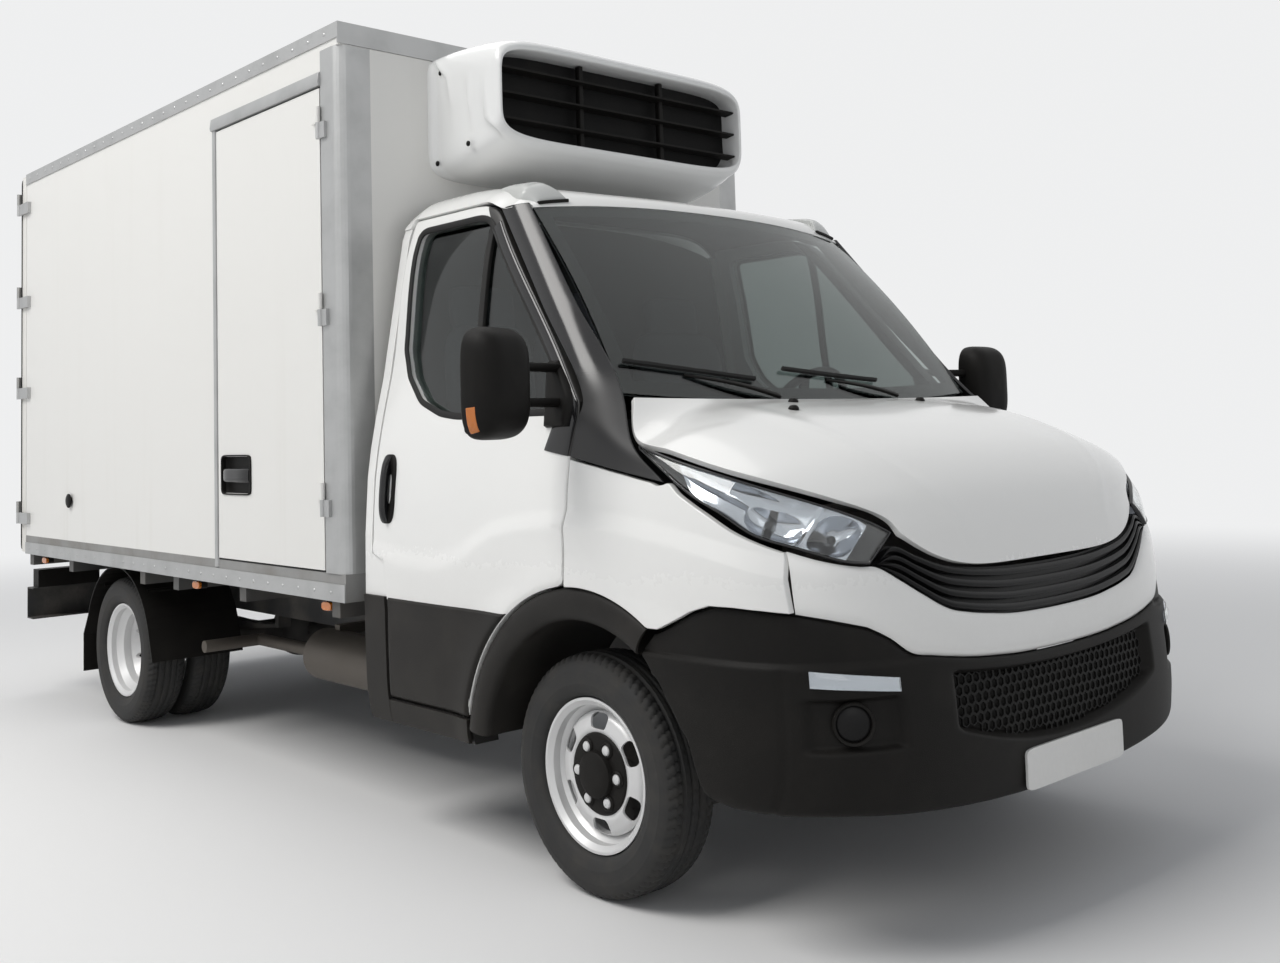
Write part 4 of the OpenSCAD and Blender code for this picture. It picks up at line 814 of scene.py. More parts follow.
@dataclass
class Form:
    """Points and faces of a mesh in the making, from the front axle; forms add up with +."""

    points: Array
    faces: list[list[int]]

    def __add__(self, other: "Form") -> "Form":
        """Both forms in one.

        Args:
            other: The form to add.
        Returns:
            The sum.
        """
        shift = len(self.points)
        faces = self.faces + [[i + shift for i in f] for f in other.faces]
        return Form(np.vstack([self.points, other.points]), faces)

    def mirrored(self) -> "Form":
        """The form on the other side of the vehicle's middle plane."""
        return Form(self.points * (1, -1, 1), [f[::-1] for f in self.faces])

    def both(self) -> "Form":
        """The form on both sides."""
        return self + self.mirrored()

    def on(self, side: float) -> "Form":
        """The form, drawn for the right side, on the side given."""
        return self.mirrored() if side > 0 else self

    def welded(self) -> "Form":
        """The form of quads with coincident points made one and walls that two parts share left out.

        Returns:
            The welded form.
        """
        unique, where = np.unique(self.points.round(6), axis=0, return_inverse=True)
        faces = where.reshape(-1)[np.array(self.faces)]
        _, first, count = np.unique(np.sort(faces, axis=1), axis=0, return_index=True, return_counts=True)
        return Form(unique, faces[np.sort(first[count == 1])].tolist())

    @staticmethod
    def quads(rows: int, cols: int, wrap_rows: bool = False, wrap_cols: bool = False) -> Array:
        """Quads of a grid that is numbered row by row.

        Args:
            rows: Rows of the grid.
            cols: Its columns.
            wrap_rows: Whether the last row meets the first.
            wrap_cols: Whether the last column meets the first.
        Returns:
            (count, 4) point numbers.
        """
        i, j = np.arange(rows - (not wrap_rows))[:, None], np.arange(cols - (not wrap_cols))
        i2, j2 = (i + 1) % rows, (j + 1) % cols
        return points(i * cols + j, i * cols + j2, i2 * cols + j2, i2 * cols + j).reshape(-1, 4)

    @classmethod
    def grid(cls, p: Array, wrap_rows: bool = False, wrap_cols: bool = False) -> "Form":
        """An open sheet through a (rows, cols, 3) grid."""
        return cls(p.reshape(-1, 3), cls.quads(p.shape[0], p.shape[1], wrap_rows, wrap_cols).tolist())

    @classmethod
    def tube(cls, p: Array, first: bool = True) -> "Form":
        """Rings of points with a face on the last ring and, if first, on the first one.

        Args:
            p: A (rings, count, 3) grid.
            first: Whether the first ring gets a face.
        Returns:
            The closed form, or one that is open at its first ring.
        """
        made, count, total = cls.grid(p, False, True), p.shape[1], p.shape[0] * p.shape[1]
        made.faces += [list(range(count))[::-1]] * first + [list(range(total - count, total))]
        return made

    @classmethod
    def shell(cls, p: Array, inner: Array, wrap_cols: bool = False) -> "Form":
        """A closed wall between two grids of one size.

        Args:
            p: Outer grid.
            inner: Inner grid.
            wrap_cols: Whether the last column meets the first.
        Returns:
            The outer and inner sheets with the rims that join them.
        """
        m, n = p.shape[:2]
        k = m * n
        q = cls.quads(m, n, False, wrap_cols)
        across = np.arange(n if wrap_cols else n - 1)
        nxt = (across + 1) % n
        last = (m - 1) * n
        rims = [points(nxt, across, k + across, k + nxt),
                points(last + across, last + nxt, k + last + nxt, k + last + across)]
        if not wrap_cols:
            down = np.arange(m - 1) * n
            end = down + n - 1
            rims += [points(down, down + n, k + down + n, k + down),
                     points(end + n, end, k + end, k + end + n)]
        faces = np.vstack([q, k + q[:, ::-1], *rims])
        return cls(np.vstack([p.reshape(-1, 3), inner.reshape(-1, 3)]), faces.tolist())

    @classmethod
    def wall(cls, p: Array, thick: float, toward: Sequence[float], wrap_cols: bool = False) -> "Form":
        """A closed wall whose inner grid lies thick behind p, seen from the side that toward gives."""
        return cls.shell(p, p - normals(p, toward, wrap_cols) * thick, wrap_cols)

    @classmethod
    def sweep(cls, path: Any, profile: Array, up: Sequence[float] = UP, closed: bool = False,
              scale: Any = 1.0) -> "Form":
        """A profile carried along a path, with flat ends where the path is open.

        Args:
            path: Points of the path.
            profile: Closed loop of (side, up) points, counter-clockwise seen along the path.
            up: Direction that the profile's second axis leans to.
            closed: Whether the path closes on itself.
            scale: Size of the profile, one number or one per path point.
        Returns:
            The swept solid.
        """
        p = np.asarray(path, float)
        ahead = np.roll(p, -1, axis=0) - np.roll(p, 1, axis=0) if closed else np.gradient(p, axis=0)
        ahead /= np.linalg.norm(ahead, axis=1, keepdims=True)
        side = np.cross(ahead, np.broadcast_to(np.asarray(up, float), p.shape))
        side /= np.linalg.norm(side, axis=1, keepdims=True)
        head = np.cross(side, ahead)
        size = np.broadcast_to(np.asarray(scale, float), (len(p),))[:, None, None]
        pts = p[:, None] + size * (profile[:, 0, None] * side[:, None] + profile[:, 1, None] * head[:, None])
        return cls.grid(pts, True, True) if closed else cls.tube(pts)

    @classmethod
    def lathe(cls, profile: Any, origin: Sequence[float], axis: Sequence[float], count: int = 64,
              closed: bool = False) -> "Form":
        """A (radius, along) profile turned about an axis.

        Args:
            profile: Points of the profile.
            origin: A point of the axis.
            axis: Direction of the axis.
            count: Steps round.
            closed: Whether the profile closes on itself.
        Returns:
            The turned surface; an open profile's ends are capped.
        """
        pr = np.asarray(profile, float)
        along = np.asarray(axis, float) / np.linalg.norm(axis)
        a = np.cross(along, (0, 0, 1) if abs(along[2]) < 0.9 else (1, 0, 0))
        a /= np.linalg.norm(a)
        b = np.cross(along, a)
        th = turn_by(count)
        ring = np.cos(th)[:, None] * a + np.sin(th)[:, None] * b
        pts = np.asarray(origin, float) + pr[:, 1, None, None] * along + pr[:, 0, None, None] * ring
        return cls.grid(pts, True, True) if closed else cls.tube(pts)

    @classmethod
    def prism(cls, outline: Array, near: Any, far: Any) -> "Form":
        """A solid between two flat loops of one size.

        Args:
            outline: Loop of (count, 3) points, counter-clockwise seen from the far side.
            near: Offset of the near loop.
            far: Offset of the far loop.
        Returns:
            The closed solid.
        """
        return cls.tube(np.stack([outline + np.asarray(near, float), outline + np.asarray(far, float)]))

    @classmethod
    def block(cls, low: Sequence[float], high: Sequence[float]) -> "Form":
        """A box between two corners, for beams and brackets that get a bevel.

        Args:
            low: Lowest corner.
            high: Highest corner.
        Returns:
            The box.
        """
        (x0, y0, z0), (x1, y1, z1) = low, high
        foot = np.array([(x0, y0, 0), (x1, y0, 0), (x1, y1, 0), (x0, y1, 0)], float)
        return cls.prism(foot, (0, 0, z0), (0, 0, z1))

    def piece(self, name: str, finish: Finish, bevel: float = 0.0, sharp: float = 35.0,
              body: str = Body.CHASSIS) -> bpy.types.Object:
        """Makes the object and lets it ride.

        Args:
            name: The piece's name.
            finish: Its finish.
            bevel: Width of the rounding on edges sharper than the given angle.
            sharp: Angle in degrees past which an edge isn't smooth.
            body: The CAD body that carries it.
        Returns:
            The object.
        """
        mesh = bpy.data.meshes.new(name)
        mesh.from_pydata((self.points + (AXLE_X, 0, 0)).tolist(), [], self.faces)
        work = bmesh.new()
        work.from_mesh(mesh)
        bmesh.ops.recalc_face_normals(work, faces=work.faces)
        work.to_mesh(mesh)
        work.free()
        mesh.polygons.foreach_set("use_smooth", np.ones(len(mesh.polygons), bool))
        mesh.set_sharp_from_angle(angle=math.radians(sharp))
        mesh.materials.append(finish.material())
        made = bpy.data.objects.new(name, mesh)
        bpy.context.scene.collection.objects.link(made)
        if bevel:
            mod = made.modifiers.new("edge", "BEVEL")
            mod.width, mod.segments, mod.limit_method = bevel, 2, "ANGLE"
            mod.angle_limit, mod.harden_normals = math.radians(sharp), True
        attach(made, body)
        LOG.info("piece %s on %s: %d faces", name, body, len(self.faces))
        return made


def normals(p: Array, toward: Sequence[float], wrap_cols: bool = False) -> Array:
    """Unit normals of a grid, from the cross product of its two directions.

    Args:
        p: The grid.
        toward: Direction that the normals lean to on the whole.
        wrap_cols: Whether the last column meets the first.
    Returns:
        One normal per point.
    """
    du = np.gradient(p, axis=0)
    dv = np.roll(p, -1, axis=1) - np.roll(p, 1, axis=1) if wrap_cols else np.gradient(p, axis=1)
    n = np.cross(dv, du)
    n = n / np.maximum(np.linalg.norm(n, axis=-1, keepdims=True), 1e-12)
    return n if (n @ np.asarray(toward, float)).sum() > 0 else -n


@dataclass(frozen=True)
class CabForm:
    """The cab's outer skin: a half width by height, closed in front by a superellipse in plan."""

    half: float = 1.005
    front: float = 1.0
    blend: float = 0.35
    power: float = 3.6
    width: tuple[tuple[float, float], ...] = (
        (0.2, 0.105), (0.3, 0.065), (0.36, 0.03), (0.45, 0.01), (0.6, 0.002), (0.8, 0.0), (1.0, 0.002),
        (1.2, 0.015), (1.3, 0.03), (1.4, 0.05), (1.55, 0.085), (2.05, 0.175), (2.13, 0.205))
    nose: tuple[tuple[float, float], ...] = (
        (0.2, 0.1), (0.26, 0.06), (0.3, 0.03), (0.36, 0.008), (0.45, 0.0), (0.6, 0.005), (0.7, 0.015),
        (0.8, 0.025), (0.9, 0.045), (1.0, 0.065), (1.1, 0.1), (1.2, 0.16), (1.3, 0.28))
    arch: Point = (0.05, 0.347, 0.546)

    def half_w(self, z: Any) -> Array:
        """Half width at a height."""
        return self.half - curve(z, *zip(*self.width))

    def front_x(self, z: Any) -> Array:
        """Foremost station at a height."""
        return self.front - curve(z, *zip(*self.nose))

    def side_y(self, x: Any, z: Any) -> Array:
        """Half width at a station and a height: the superellipse solved for y."""
        reach = np.clip((x - self.blend) / (self.front_x(z) - self.blend), 0, 1)
        return self.half_w(z) * (1 - reach ** self.power) ** (1 / self.power)

    def nose_x(self, y: Any, z: Any) -> Array:
        """Station at a half width and a height: the superellipse solved for x."""
        reach = np.clip(np.abs(y) / self.half_w(z), 0, 1)
        return self.blend + (self.front_x(z) - self.blend) * (1 - reach ** self.power) ** (1 / self.power)

    def band(self, s: Array, z: Array) -> Array:
        """Points of the nose's right side: the superellipse by the turn that a station gives.

        Args:
            s: 0 at the flank, 1 in the middle; below 0, metres behind the flank.
            z: Heights.
        Returns:
            Points, with x, y, z as a last axis.
        """
        turn = np.clip(s, 0, 1) * np.pi / 2
        x = self.blend + (self.front_x(z) - self.blend) * np.sin(turn) ** (2 / self.power) + np.minimum(s, 0)
        y = self.half_w(z) * np.clip(np.cos(turn), 0, 1) ** (2 / self.power)
        return points(x, -y, z)

    def crease(self, x: Any, z: Any) -> Array:
        """Swell of the flank: a ridge with a steep upper and a long lower slope along a line by station.

        Args:
            x: Stations.
            z: Heights.
        Returns:
            The swell outwards.
        """
        knots = (-1.1, -0.55, -0.35, -0.1, 0.2, 0.5, 0.8)
        line = curve(x, knots, (0.93, 0.93, 1.02, 1.06, 1.062, 1.02, 0.95))
        rise = np.where(z > line, (z - line) / 0.05, (line - z) / 0.17)
        flare = np.maximum(np.hypot(np.asarray(x) - self.arch[0], z - self.arch[1]) - self.arch[2], 0)
        return 0.015 * np.clip(1 - rise, 0, 1) + 0.012 * bell(flare, 0, 0.07) * ramp(z, 1.3, 0.9)

    def flank(self, xz: Array, out: Any = 0.0) -> Array:
        """Right flank points over (x, z) pairs, with the crease and an offset outwards."""
        x, z = xz[..., 0], xz[..., 1]
        return points(x, -(self.side_y(x, z) + self.crease(x, z) + out), z)


CAB = CabForm()
SCREEN_OUT = np.array((0.75, 0.0, 0.6))
S_STATIONS = (-0.035, -0.001, 0.0064, 0.02, 0.0332, 0.05, 0.1, 0.17, 0.26, 0.36, 0.47, 0.58, 0.64, 0.7, 0.76,
              0.82, 0.87, 0.92, 0.96, 1.0)
BUMPER_LOW = (0.735, 0.69, 0.625, 0.56, 0.515, 0.4, 0.376, 0.372, 0.372, 0.375, 0.375, 0.37, 0.366, 0.362,
              0.357, 0.352, 0.347, 0.342, 0.338, 0.336)
BUMPER_HIGH = (0.752, 0.79, 0.812, 0.832, 0.846, 0.86, 0.88, 0.88, 0.875, 0.868, 0.852, 0.83, 0.8, 0.756,
               0.742, 0.73, 0.72, 0.712, 0.705, 0.701)
PANEL_HIGH = (1.026, 1.0, 0.982, 0.976, 0.94, 0.898, 0.856, 0.838, 0.825, 0.815, 0.81)
LIP_HIGH = (0.994, 1.034, 1.006, 0.978, 0.962, 0.951, 0.944, 0.94)


@dataclass
class Nose:
    """Bonnet, lamps, grille, front panel, fenders and bumper."""

    columns: int = 141
    panel_t: float = 0.02
    bonnet_t: float = 0.018
    lens_t: float = 0.004
    bonnet_rows: tuple = ((0.214, 1.422, 0.174, 0.878, 1.432, 2.2), (0.33, 1.408, 0.264, 0.956, 1.318, 4.0),
                          (0.47, 1.38, 0.4, 0.962, 1.284, 4.0), (0.62, 1.335, 0.56, 0.946, 1.24, 3.6),
                          (0.76, 1.268, 0.69, 0.896, 1.202, 3.4), (0.858, 1.18, 0.798, 0.77, 1.15, 3.6),
                          (0.914, 1.076, 0.858, 0.65, 1.1, 4.2), (0.942, 0.95, 0.886, 0.612, 1.056, 5.0))
    nozzles: tuple = ((0.3, -0.33, 1.4125), (0.3, 0.33, 1.4125), (0.42, -0.47, 1.388))
    net_pitch: float = 0.03
    fog_axis: Point = (0.78, -0.62, 0.0)
    lamp_bowls: tuple = ((2.35, 0.34, 1.25, 0.3, 0.034), (3.22, 0.62, 0.68, 0.34, 0.052),
                         (4.5, 0.5, 0.53, 0.44, 0.056))
    lamp_rows: tuple = ((0.3, 0.972, 1.294, 0.306, 0.973, 1.283), (0.42, 0.971, 1.262, 0.486, 0.984, 1.172),
                        (0.55, 0.958, 1.23, 0.604, 0.974, 1.113), (0.681, 0.91, 1.191, 0.69, 0.948, 1.06),
                        (0.8, 0.782, 1.134, 0.778, 0.888, 1.027), (0.852, 0.69, 1.094, 0.846, 0.8, 0.993),
                        (0.878, 0.636, 1.062, 0.876, 0.735, 0.984))
    fender_rows: tuple = ((0.004, 1.258), (0.06, 1.248), (0.12, 1.238), (0.184, 1.226), (0.24, 1.216),
                          (0.3, 1.204), (0.345, 1.196), (0.38, 1.188), (0.408, 1.19), (0.436, 1.194),
                          (0.47, 1.17), (0.52, 1.144), (0.58, 1.114), (0.65, 1.074), (0.715, 1.044),
                          (0.768, 1.022))

    def strip(self, first: int, low: Sequence[float], high: Sequence[float], rows: int, gap: float = 0.0,
              trim: float = 0.0) -> Array:
        """A band of the nose from the right flank to the left, between two heights by station.

        Args:
            first: First station of the lists.
            low: Lower heights, one per station.
            high: Upper heights, one per station.
            rows: Rows of points up the band.
            gap: Added to the lower heights.
            trim: Taken off the upper heights.
        Returns:
            A (rows, columns, 3) grid.
        """
        t = np.linspace(0, len(low) - 1, self.columns)
        knots = np.arange(len(low))
        s = np.interp(t, knots, S_STATIONS[first:])
        u = steps(rows)
        z = (curve(t, knots, low) + gap) * (1 - u) + (curve(t, knots, high) - trim) * u
        right = CAB.band(np.broadcast_to(s, z.shape), z)
        return np.concatenate([right, right[:, -2::-1] * (1, -1, 1)], axis=1)

    def bonnet(self) -> None:
        """Each row runs edge to edge: x and z go from the centre's to the edge's by a power of the width."""
        k = np.arange(len(self.bonnet_rows))
        row = curve(np.linspace(0, k[-1], 61), k, self.bonnet_rows)[:, None]
        v = np.linspace(-1, 1, 97)[None]
        x0, z0, x1, y1, z1, power = np.moveaxis(row, -1, 0)
        w = np.abs(v) ** power
        p = points(x0 + (x1 - x0) * w, y1 * v, z0 + (z1 - z0) * w)
        ridge = 0.006 * bell(np.abs(v), 0.62, 0.05) * np.sin(np.linspace(0, np.pi, 61))[:, None]
        p = p + normals(p, UP) * ridge[..., None]
        made = Form.wall(p, self.bonnet_t, UP)
        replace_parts(made.piece("bonnet_skin", Finishes.WHITE, 0.004, body=Body.BONNET), "bonnet")
        nozzle = [(0.016, -0.006), (0.016, 0.002), (0.011, 0.009), (0.004, 0.011)]
        drops = joined([Form.lathe(nozzle, spot, UP, 20) for spot in self.nozzles])
        drops.piece("washer_nozzles", Finishes.BLACK, body=Body.BONNET)

    def fenders(self) -> None:
        """The flank between the arch lip or bumper and the lamp and bonnet edges, with the crease."""
        x = np.linspace(0.004, 0.774, 90)
        high = curve(x, *zip(*self.fender_rows))
        cx, cz, r = CAB.arch
        arch = cz + np.sqrt(np.maximum(0, (r + 0.0035) ** 2 - (np.minimum(x, 0.345) - cx) ** 2))
        line = CAB.band(np.array(S_STATIONS[:11]), np.array(BUMPER_HIGH[:11]))
        low = np.where(x < 0.345, arch, np.maximum(arch, np.interp(x, line[:, 0], line[:, 2]) + 0.005))
        u = steps(44)
        z = low * (1 - u) + high * u
        reach = (CAB.front_x(z) - CAB.blend) / (CAB.front_x(0.88) - CAB.blend)
        p = CAB.flank(points(np.where(x < CAB.blend, x, CAB.blend + (x - CAB.blend) * reach), z))
        made = Form.shell(p, p + (0, self.panel_t, 0)).both()
        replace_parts(made.piece("fender_skins", Finishes.WHITE, 0.004), "fenders")

    def front_panel(self) -> None:
        """The white band between bumper and grille, its lower edge rolled in."""
        p = self.strip(9, BUMPER_HIGH[9:], PANEL_HIGH, 30, 0.004)
        u = steps(30)
        roll = 0.012 * np.exp(-u / 0.06) + 0.01 * np.exp(-(1 - u) / 0.08)
        p = p - normals(p, AHEAD) * roll[..., None]
        made = Form.wall(p, self.panel_t, AHEAD)
        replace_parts(made.piece("front_panel_skin", Finishes.WHITE, 0.004), "front_panel")

    def grille(self) -> None:
        """A dark backing with three slats, each a band crowned across its height."""
        low, high = PANEL_HIGH[3:], LIP_HIGH
        back = self.strip(12, low, high, 8, 0.002, 0.003)
        back = back - normals(back, AHEAD) * 0.034
        made = Form.wall(back, 0.008, AHEAD)
        span = np.subtract(high, low) - 0.012
        for i in range(4):
            a = np.add(low, 0.006) + span * (0.02 + i * 0.265)
            p = self.strip(12, a, a + span * 0.15, 9)
            u = steps(9)[..., None]
            n = normals(p, AHEAD)
            p = p + n * (0.004 * np.sin(np.pi * u) - 0.01)
            made = made + Form.shell(p, p - n * 0.02)
        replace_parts(made.piece("grille_slats", Finishes.SLAT, 0.0015), "grille")

    def hollow(self, p: Array) -> Array:
        """Depth of the bumper's openings, seams and ledge at its points.

        Args:
            p: Points of the bumper.
        Returns:
            Depth below the skin.
        """
        x, y, z = p[..., 0], np.abs(p[..., 1]), p[..., 2]
        foot = 0.475 + 0.07 * (y / 0.47) ** 2
        head = 0.676 + 0.024 * (y / 0.47) ** 2
        mesh = ramp(y, 0.53, 0.49) * ramp(z, foot - 0.012, foot + 0.012) * ramp(z, head, head - 0.018)
        fog = ramp(y, 0.69, 0.715) * ramp(y, 0.925, 0.9) * ramp(z, 0.53, 0.548) * ramp(z, 0.668, 0.652)
        ledge = 0.012 * ramp(z, 0.742, 0.75) * ramp(y, 0.6, 0.66)
        seam = 0.005 * bell(y, 0.945, 0.004) * ramp(z, 0.74, 0.73) * ramp(x, 0.55, 0.6)
        groove = 0.004 * bell(z, 0.742, 0.004) * ramp(y, 0.6, 0.66)
        return 0.04 * mesh + 0.022 * fog + ledge + seam + groove

    def bumper(self) -> None:
        """The bumper band with its openings pressed in, a net, fog lamps, day lamps and a blank plate."""
        p = self.strip(0, BUMPER_LOW, BUMPER_HIGH, 110)
        n = normals(p, AHEAD)
        u = steps(110)
        p = p - n * (self.hollow(p) + 0.012 * np.exp(-u / 0.02) + 0.006 * np.exp(-(1 - u) / 0.015))[..., None]
        made = Form.shell(p, p - n * 0.018)
        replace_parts(made.piece("bumper_skin", Finishes.BLACK, 0.003, 60), "bumper")
        self.net()
        self.low_lamps()

    def net(self) -> None:
        """A net of hexagon rings laid on the nose surface, set back into the opening."""
        pitch = self.net_pitch
        i, j = np.meshgrid(np.arange(-17, 18), np.arange(0, 9), indexing="ij")
        cy, cz = (i + 0.5 * (j % 2)) * pitch, 0.485 + j * pitch * 0.866
        bow = (cy / 0.47) ** 2
        keep = (np.abs(cy) < 0.495) & (cz > 0.482 + 0.07 * bow) & (cz < 0.668 + 0.024 * bow)
        c = points(cy[keep], cz[keep])[:, None]
        a = np.radians(np.arange(6) * 60 + 30)
        ring = points(np.cos(a), np.sin(a))
        yz = np.concatenate([c + ring * pitch * 0.577, c + ring * pitch * 0.43], axis=1)
        x = CAB.nose_x(yz[..., 0], yz[..., 1]) - 0.026
        front = points(x, yz[..., 0], yz[..., 1])
        k = np.arange(6)
        k2 = (k + 1) % 6
        quad = points(k, k2, 6 + k2, 6 + k)
        loop = np.concatenate([points(k, k2, k2 + 12, k + 12), points(6 + k, 6 + k2, k2 + 18, k + 18), quad,
                               quad[:, ::-1] + 12])
        faces = (np.arange(len(front))[:, None, None] * 24 + loop).reshape(-1, 4)
        both = np.concatenate([front, front - np.array((0.005, 0, 0))], axis=1)
        Form(both.reshape(-1, 3), faces.tolist()).piece("bumper_net", Finishes.NET)

    def low_lamps(self) -> None:
        """Day lamp strips, fog lamps and the blank plate."""
        u, v = steps(8), steps(30).T
        y = 0.905 - 0.2 * v
        z = (0.695 - 0.022 * v) * (1 - u) + (0.735 - 0.028 * v) * u
        p = points(CAB.nose_x(y, z), -y, z)
        n = normals(p, AHEAD)
        bowl = Form.shell(p + n * 0.003, p - n * 0.004)
        p = p + n * (0.007 + 0.006 * np.sin(np.pi * u) * np.sin(np.pi * v) ** 0.3)[..., None]
        lens = Form.shell(p, p - n * 0.003)
        lens.both().piece("day_lamps", Finishes.CLEAR)
        bowl.both().piece("day_lamp_bowls", Finishes.BOWL)
        rim = [(0.04, -0.014), (0.052, -0.008), (0.055, 0.0), (0.052, 0.007), (0.046, 0.005),
               (0.044, -0.004), (0.0035, -0.01)]
        glass = [(0.045, -0.003), (0.038, 0.002), (0.022, 0.006), (0.003, 0.0075)]
        at = (float(CAB.nose_x(0.82, 0.603)) - 0.012, -0.82, 0.603)
        for name, profile, finish in (("rims", rim, Finishes.BLACK), ("lenses", glass, Finishes.SLAT)):
            lamp = Form.lathe(profile, at, self.fog_axis, 48)
            lamp.both().piece("fog_lamp_" + name, finish)
        yz = resample(oval(0.26, 0.055, 160, 14), 120, True)
        x = CAB.nose_x(yz[:, 0], yz[:, 1] + 0.4)
        plate = points(x.max() + 0.003, yz[:, 0], yz[:, 1] + 0.405)
        Form.prism(plate, (-0.004, 0, 0), (0.004, 0, 0)).piece("plate_blank", Finishes.WHITE, 0.001)

    def lamp_sheet(self, first: float, last: float, cols: int, rows: int) -> tuple[Array, Array]:
        """The right lamp's opening between two of its stations.

        Args:
            first: Station of the first column.
            last: Station of the last column.
            cols: Columns along the lamp.
            rows: Rows from its upper to its lower edge.
        Returns:
            The points, a straight blend of the two edge curves, and their outward normals.
        """
        row = curve(np.linspace(first, last, cols), np.arange(len(self.lamp_rows)), self.lamp_rows)[None]
        v = np.linspace(0.07, 0.97, rows)[:, None, None]
        p = (row[..., :3] * (1 - v) + row[..., 3:] * v) * (1, -1, 1)
        return p, normals(p, (1, -1, 0.3))

    def lamps(self) -> None:
        """Bulged lenses over a bright tray with two bowls and a shelf, and dark bezels at both tips."""
        p, n = self.lamp_sheet(0, 6, 60, 24)
        v, t = steps(24), np.linspace(0.02, 0.98, 60)[None]
        outer = p + n * (0.014 * np.sin(np.pi * v) * np.sin(np.pi * t) ** 0.5)[..., None]
        lens = Form.shell(outer, outer - n * self.lens_t)
        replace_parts(lens.both().piece("headlamp_lenses", Finishes.CLEAR), "headlamps")
        edge = np.concatenate([outer[0], outer[1:-1, -1], outer[-1, ::-1], outer[-2:0:-1, 0]])
        rim = Form.sweep(edge - np.array((0.004, 0, 0)), oval(0.004, 0.007, 8), (0.6, -0.8, 0.2), True)
        rim.both().piece("headlamp_frames", Finishes.GLOSS_BLACK)
        self.lamp_trays()

    def lamp_trays(self) -> None:
        """The tray sinks in bowls: each depth falls from its middle by a power of a superellipse radius."""
        first, last, cols, rows = 1.05, 5.05, 150, 60
        p, n = self.lamp_sheet(first, last, cols, rows)
        v, t = steps(rows), np.linspace(first, last, cols)[None]
        depth = 0.008 + 0.022 * np.sin(np.pi * v) ** 0.7 * np.sin(np.pi * (t - first) / (last - first)) ** 0.5
        for mid, high, long, tall, deep in self.lamp_bowls:
            radius = (np.abs((t - mid) / long) ** 3 + np.abs((v - high) / tall) ** 3) ** (1 / 3)
            depth = np.maximum(depth, 0.01 + deep * np.clip(1 - radius ** 2, 0, 1) ** 0.6)
        depth = depth - 0.006 * bell(t, 3.93, 0.05)
        tray = Form.shell(p - n * depth[..., None], p - n * (depth[..., None] + 0.003))
        tray.both().piece("headlamp_trays", Finishes.BOWL, 0.0, 40)
        sheets = [self.lamp_sheet(*span, 24, 20) for span in ((0.02, 1.06), (5.04, 5.98))]
        tips = [Form.shell(q - m * 0.006, q - m * 0.009) for q, m in sheets]
        joined(tips).both().piece("headlamp_bezels", Finishes.GLOSS_BLACK)
        shield = [(0.003, -0.03), (0.011, -0.028), (0.013, -0.004), (0.01, 0.004), (0.003, 0.006)]
        bulbs = []
        for mid, high, _, _, deep in self.lamp_bowls[1:]:
            i, j = int(round(high * (rows - 1))), int(round((mid - first) / (last - first) * (cols - 1)))
            bulbs.append(Form.lathe(shield, p[i, j] - n[i, j] * deep * 0.75, n[i, j], 24))
        joined(bulbs).both().piece("headlamp_shields", Finishes.GLOSS_BLACK)

    def build(self) -> None:
        """Builds every piece of the nose."""
        for step in (self.bonnet, self.fenders, self.front_panel, self.grille, self.bumper, self.lamps):
            step()


@dataclass
class Handed:
    """A sub-assembly that is drawn for the right side and put on either."""

    side: float
    carrier: ClassVar[str] = ""

    def name(self, stem: str) -> str:
        """A name with the side after it."""
        return f"{stem}_{hand(self.side)}"

    @property
    def body(self) -> str:
        """The body that carries it."""
        return self.name(self.carrier)

    def put(self, form: Form, stem: str, finish: Finish, bevel: float = 0.0,
            sharp: float = 35.0) -> bpy.types.Object:
        """Makes a piece on this side.

        Args:
            form: Its form, drawn for the right side.
            stem: Its name without the side.
            finish: Its finish.
            bevel: Width of the rounding on sharp edges.
            sharp: Angle in degrees past which an edge isn't smooth.
        Returns:
            The object.
        """
        return form.on(self.side).piece(self.name(stem), finish, bevel, sharp, self.body)


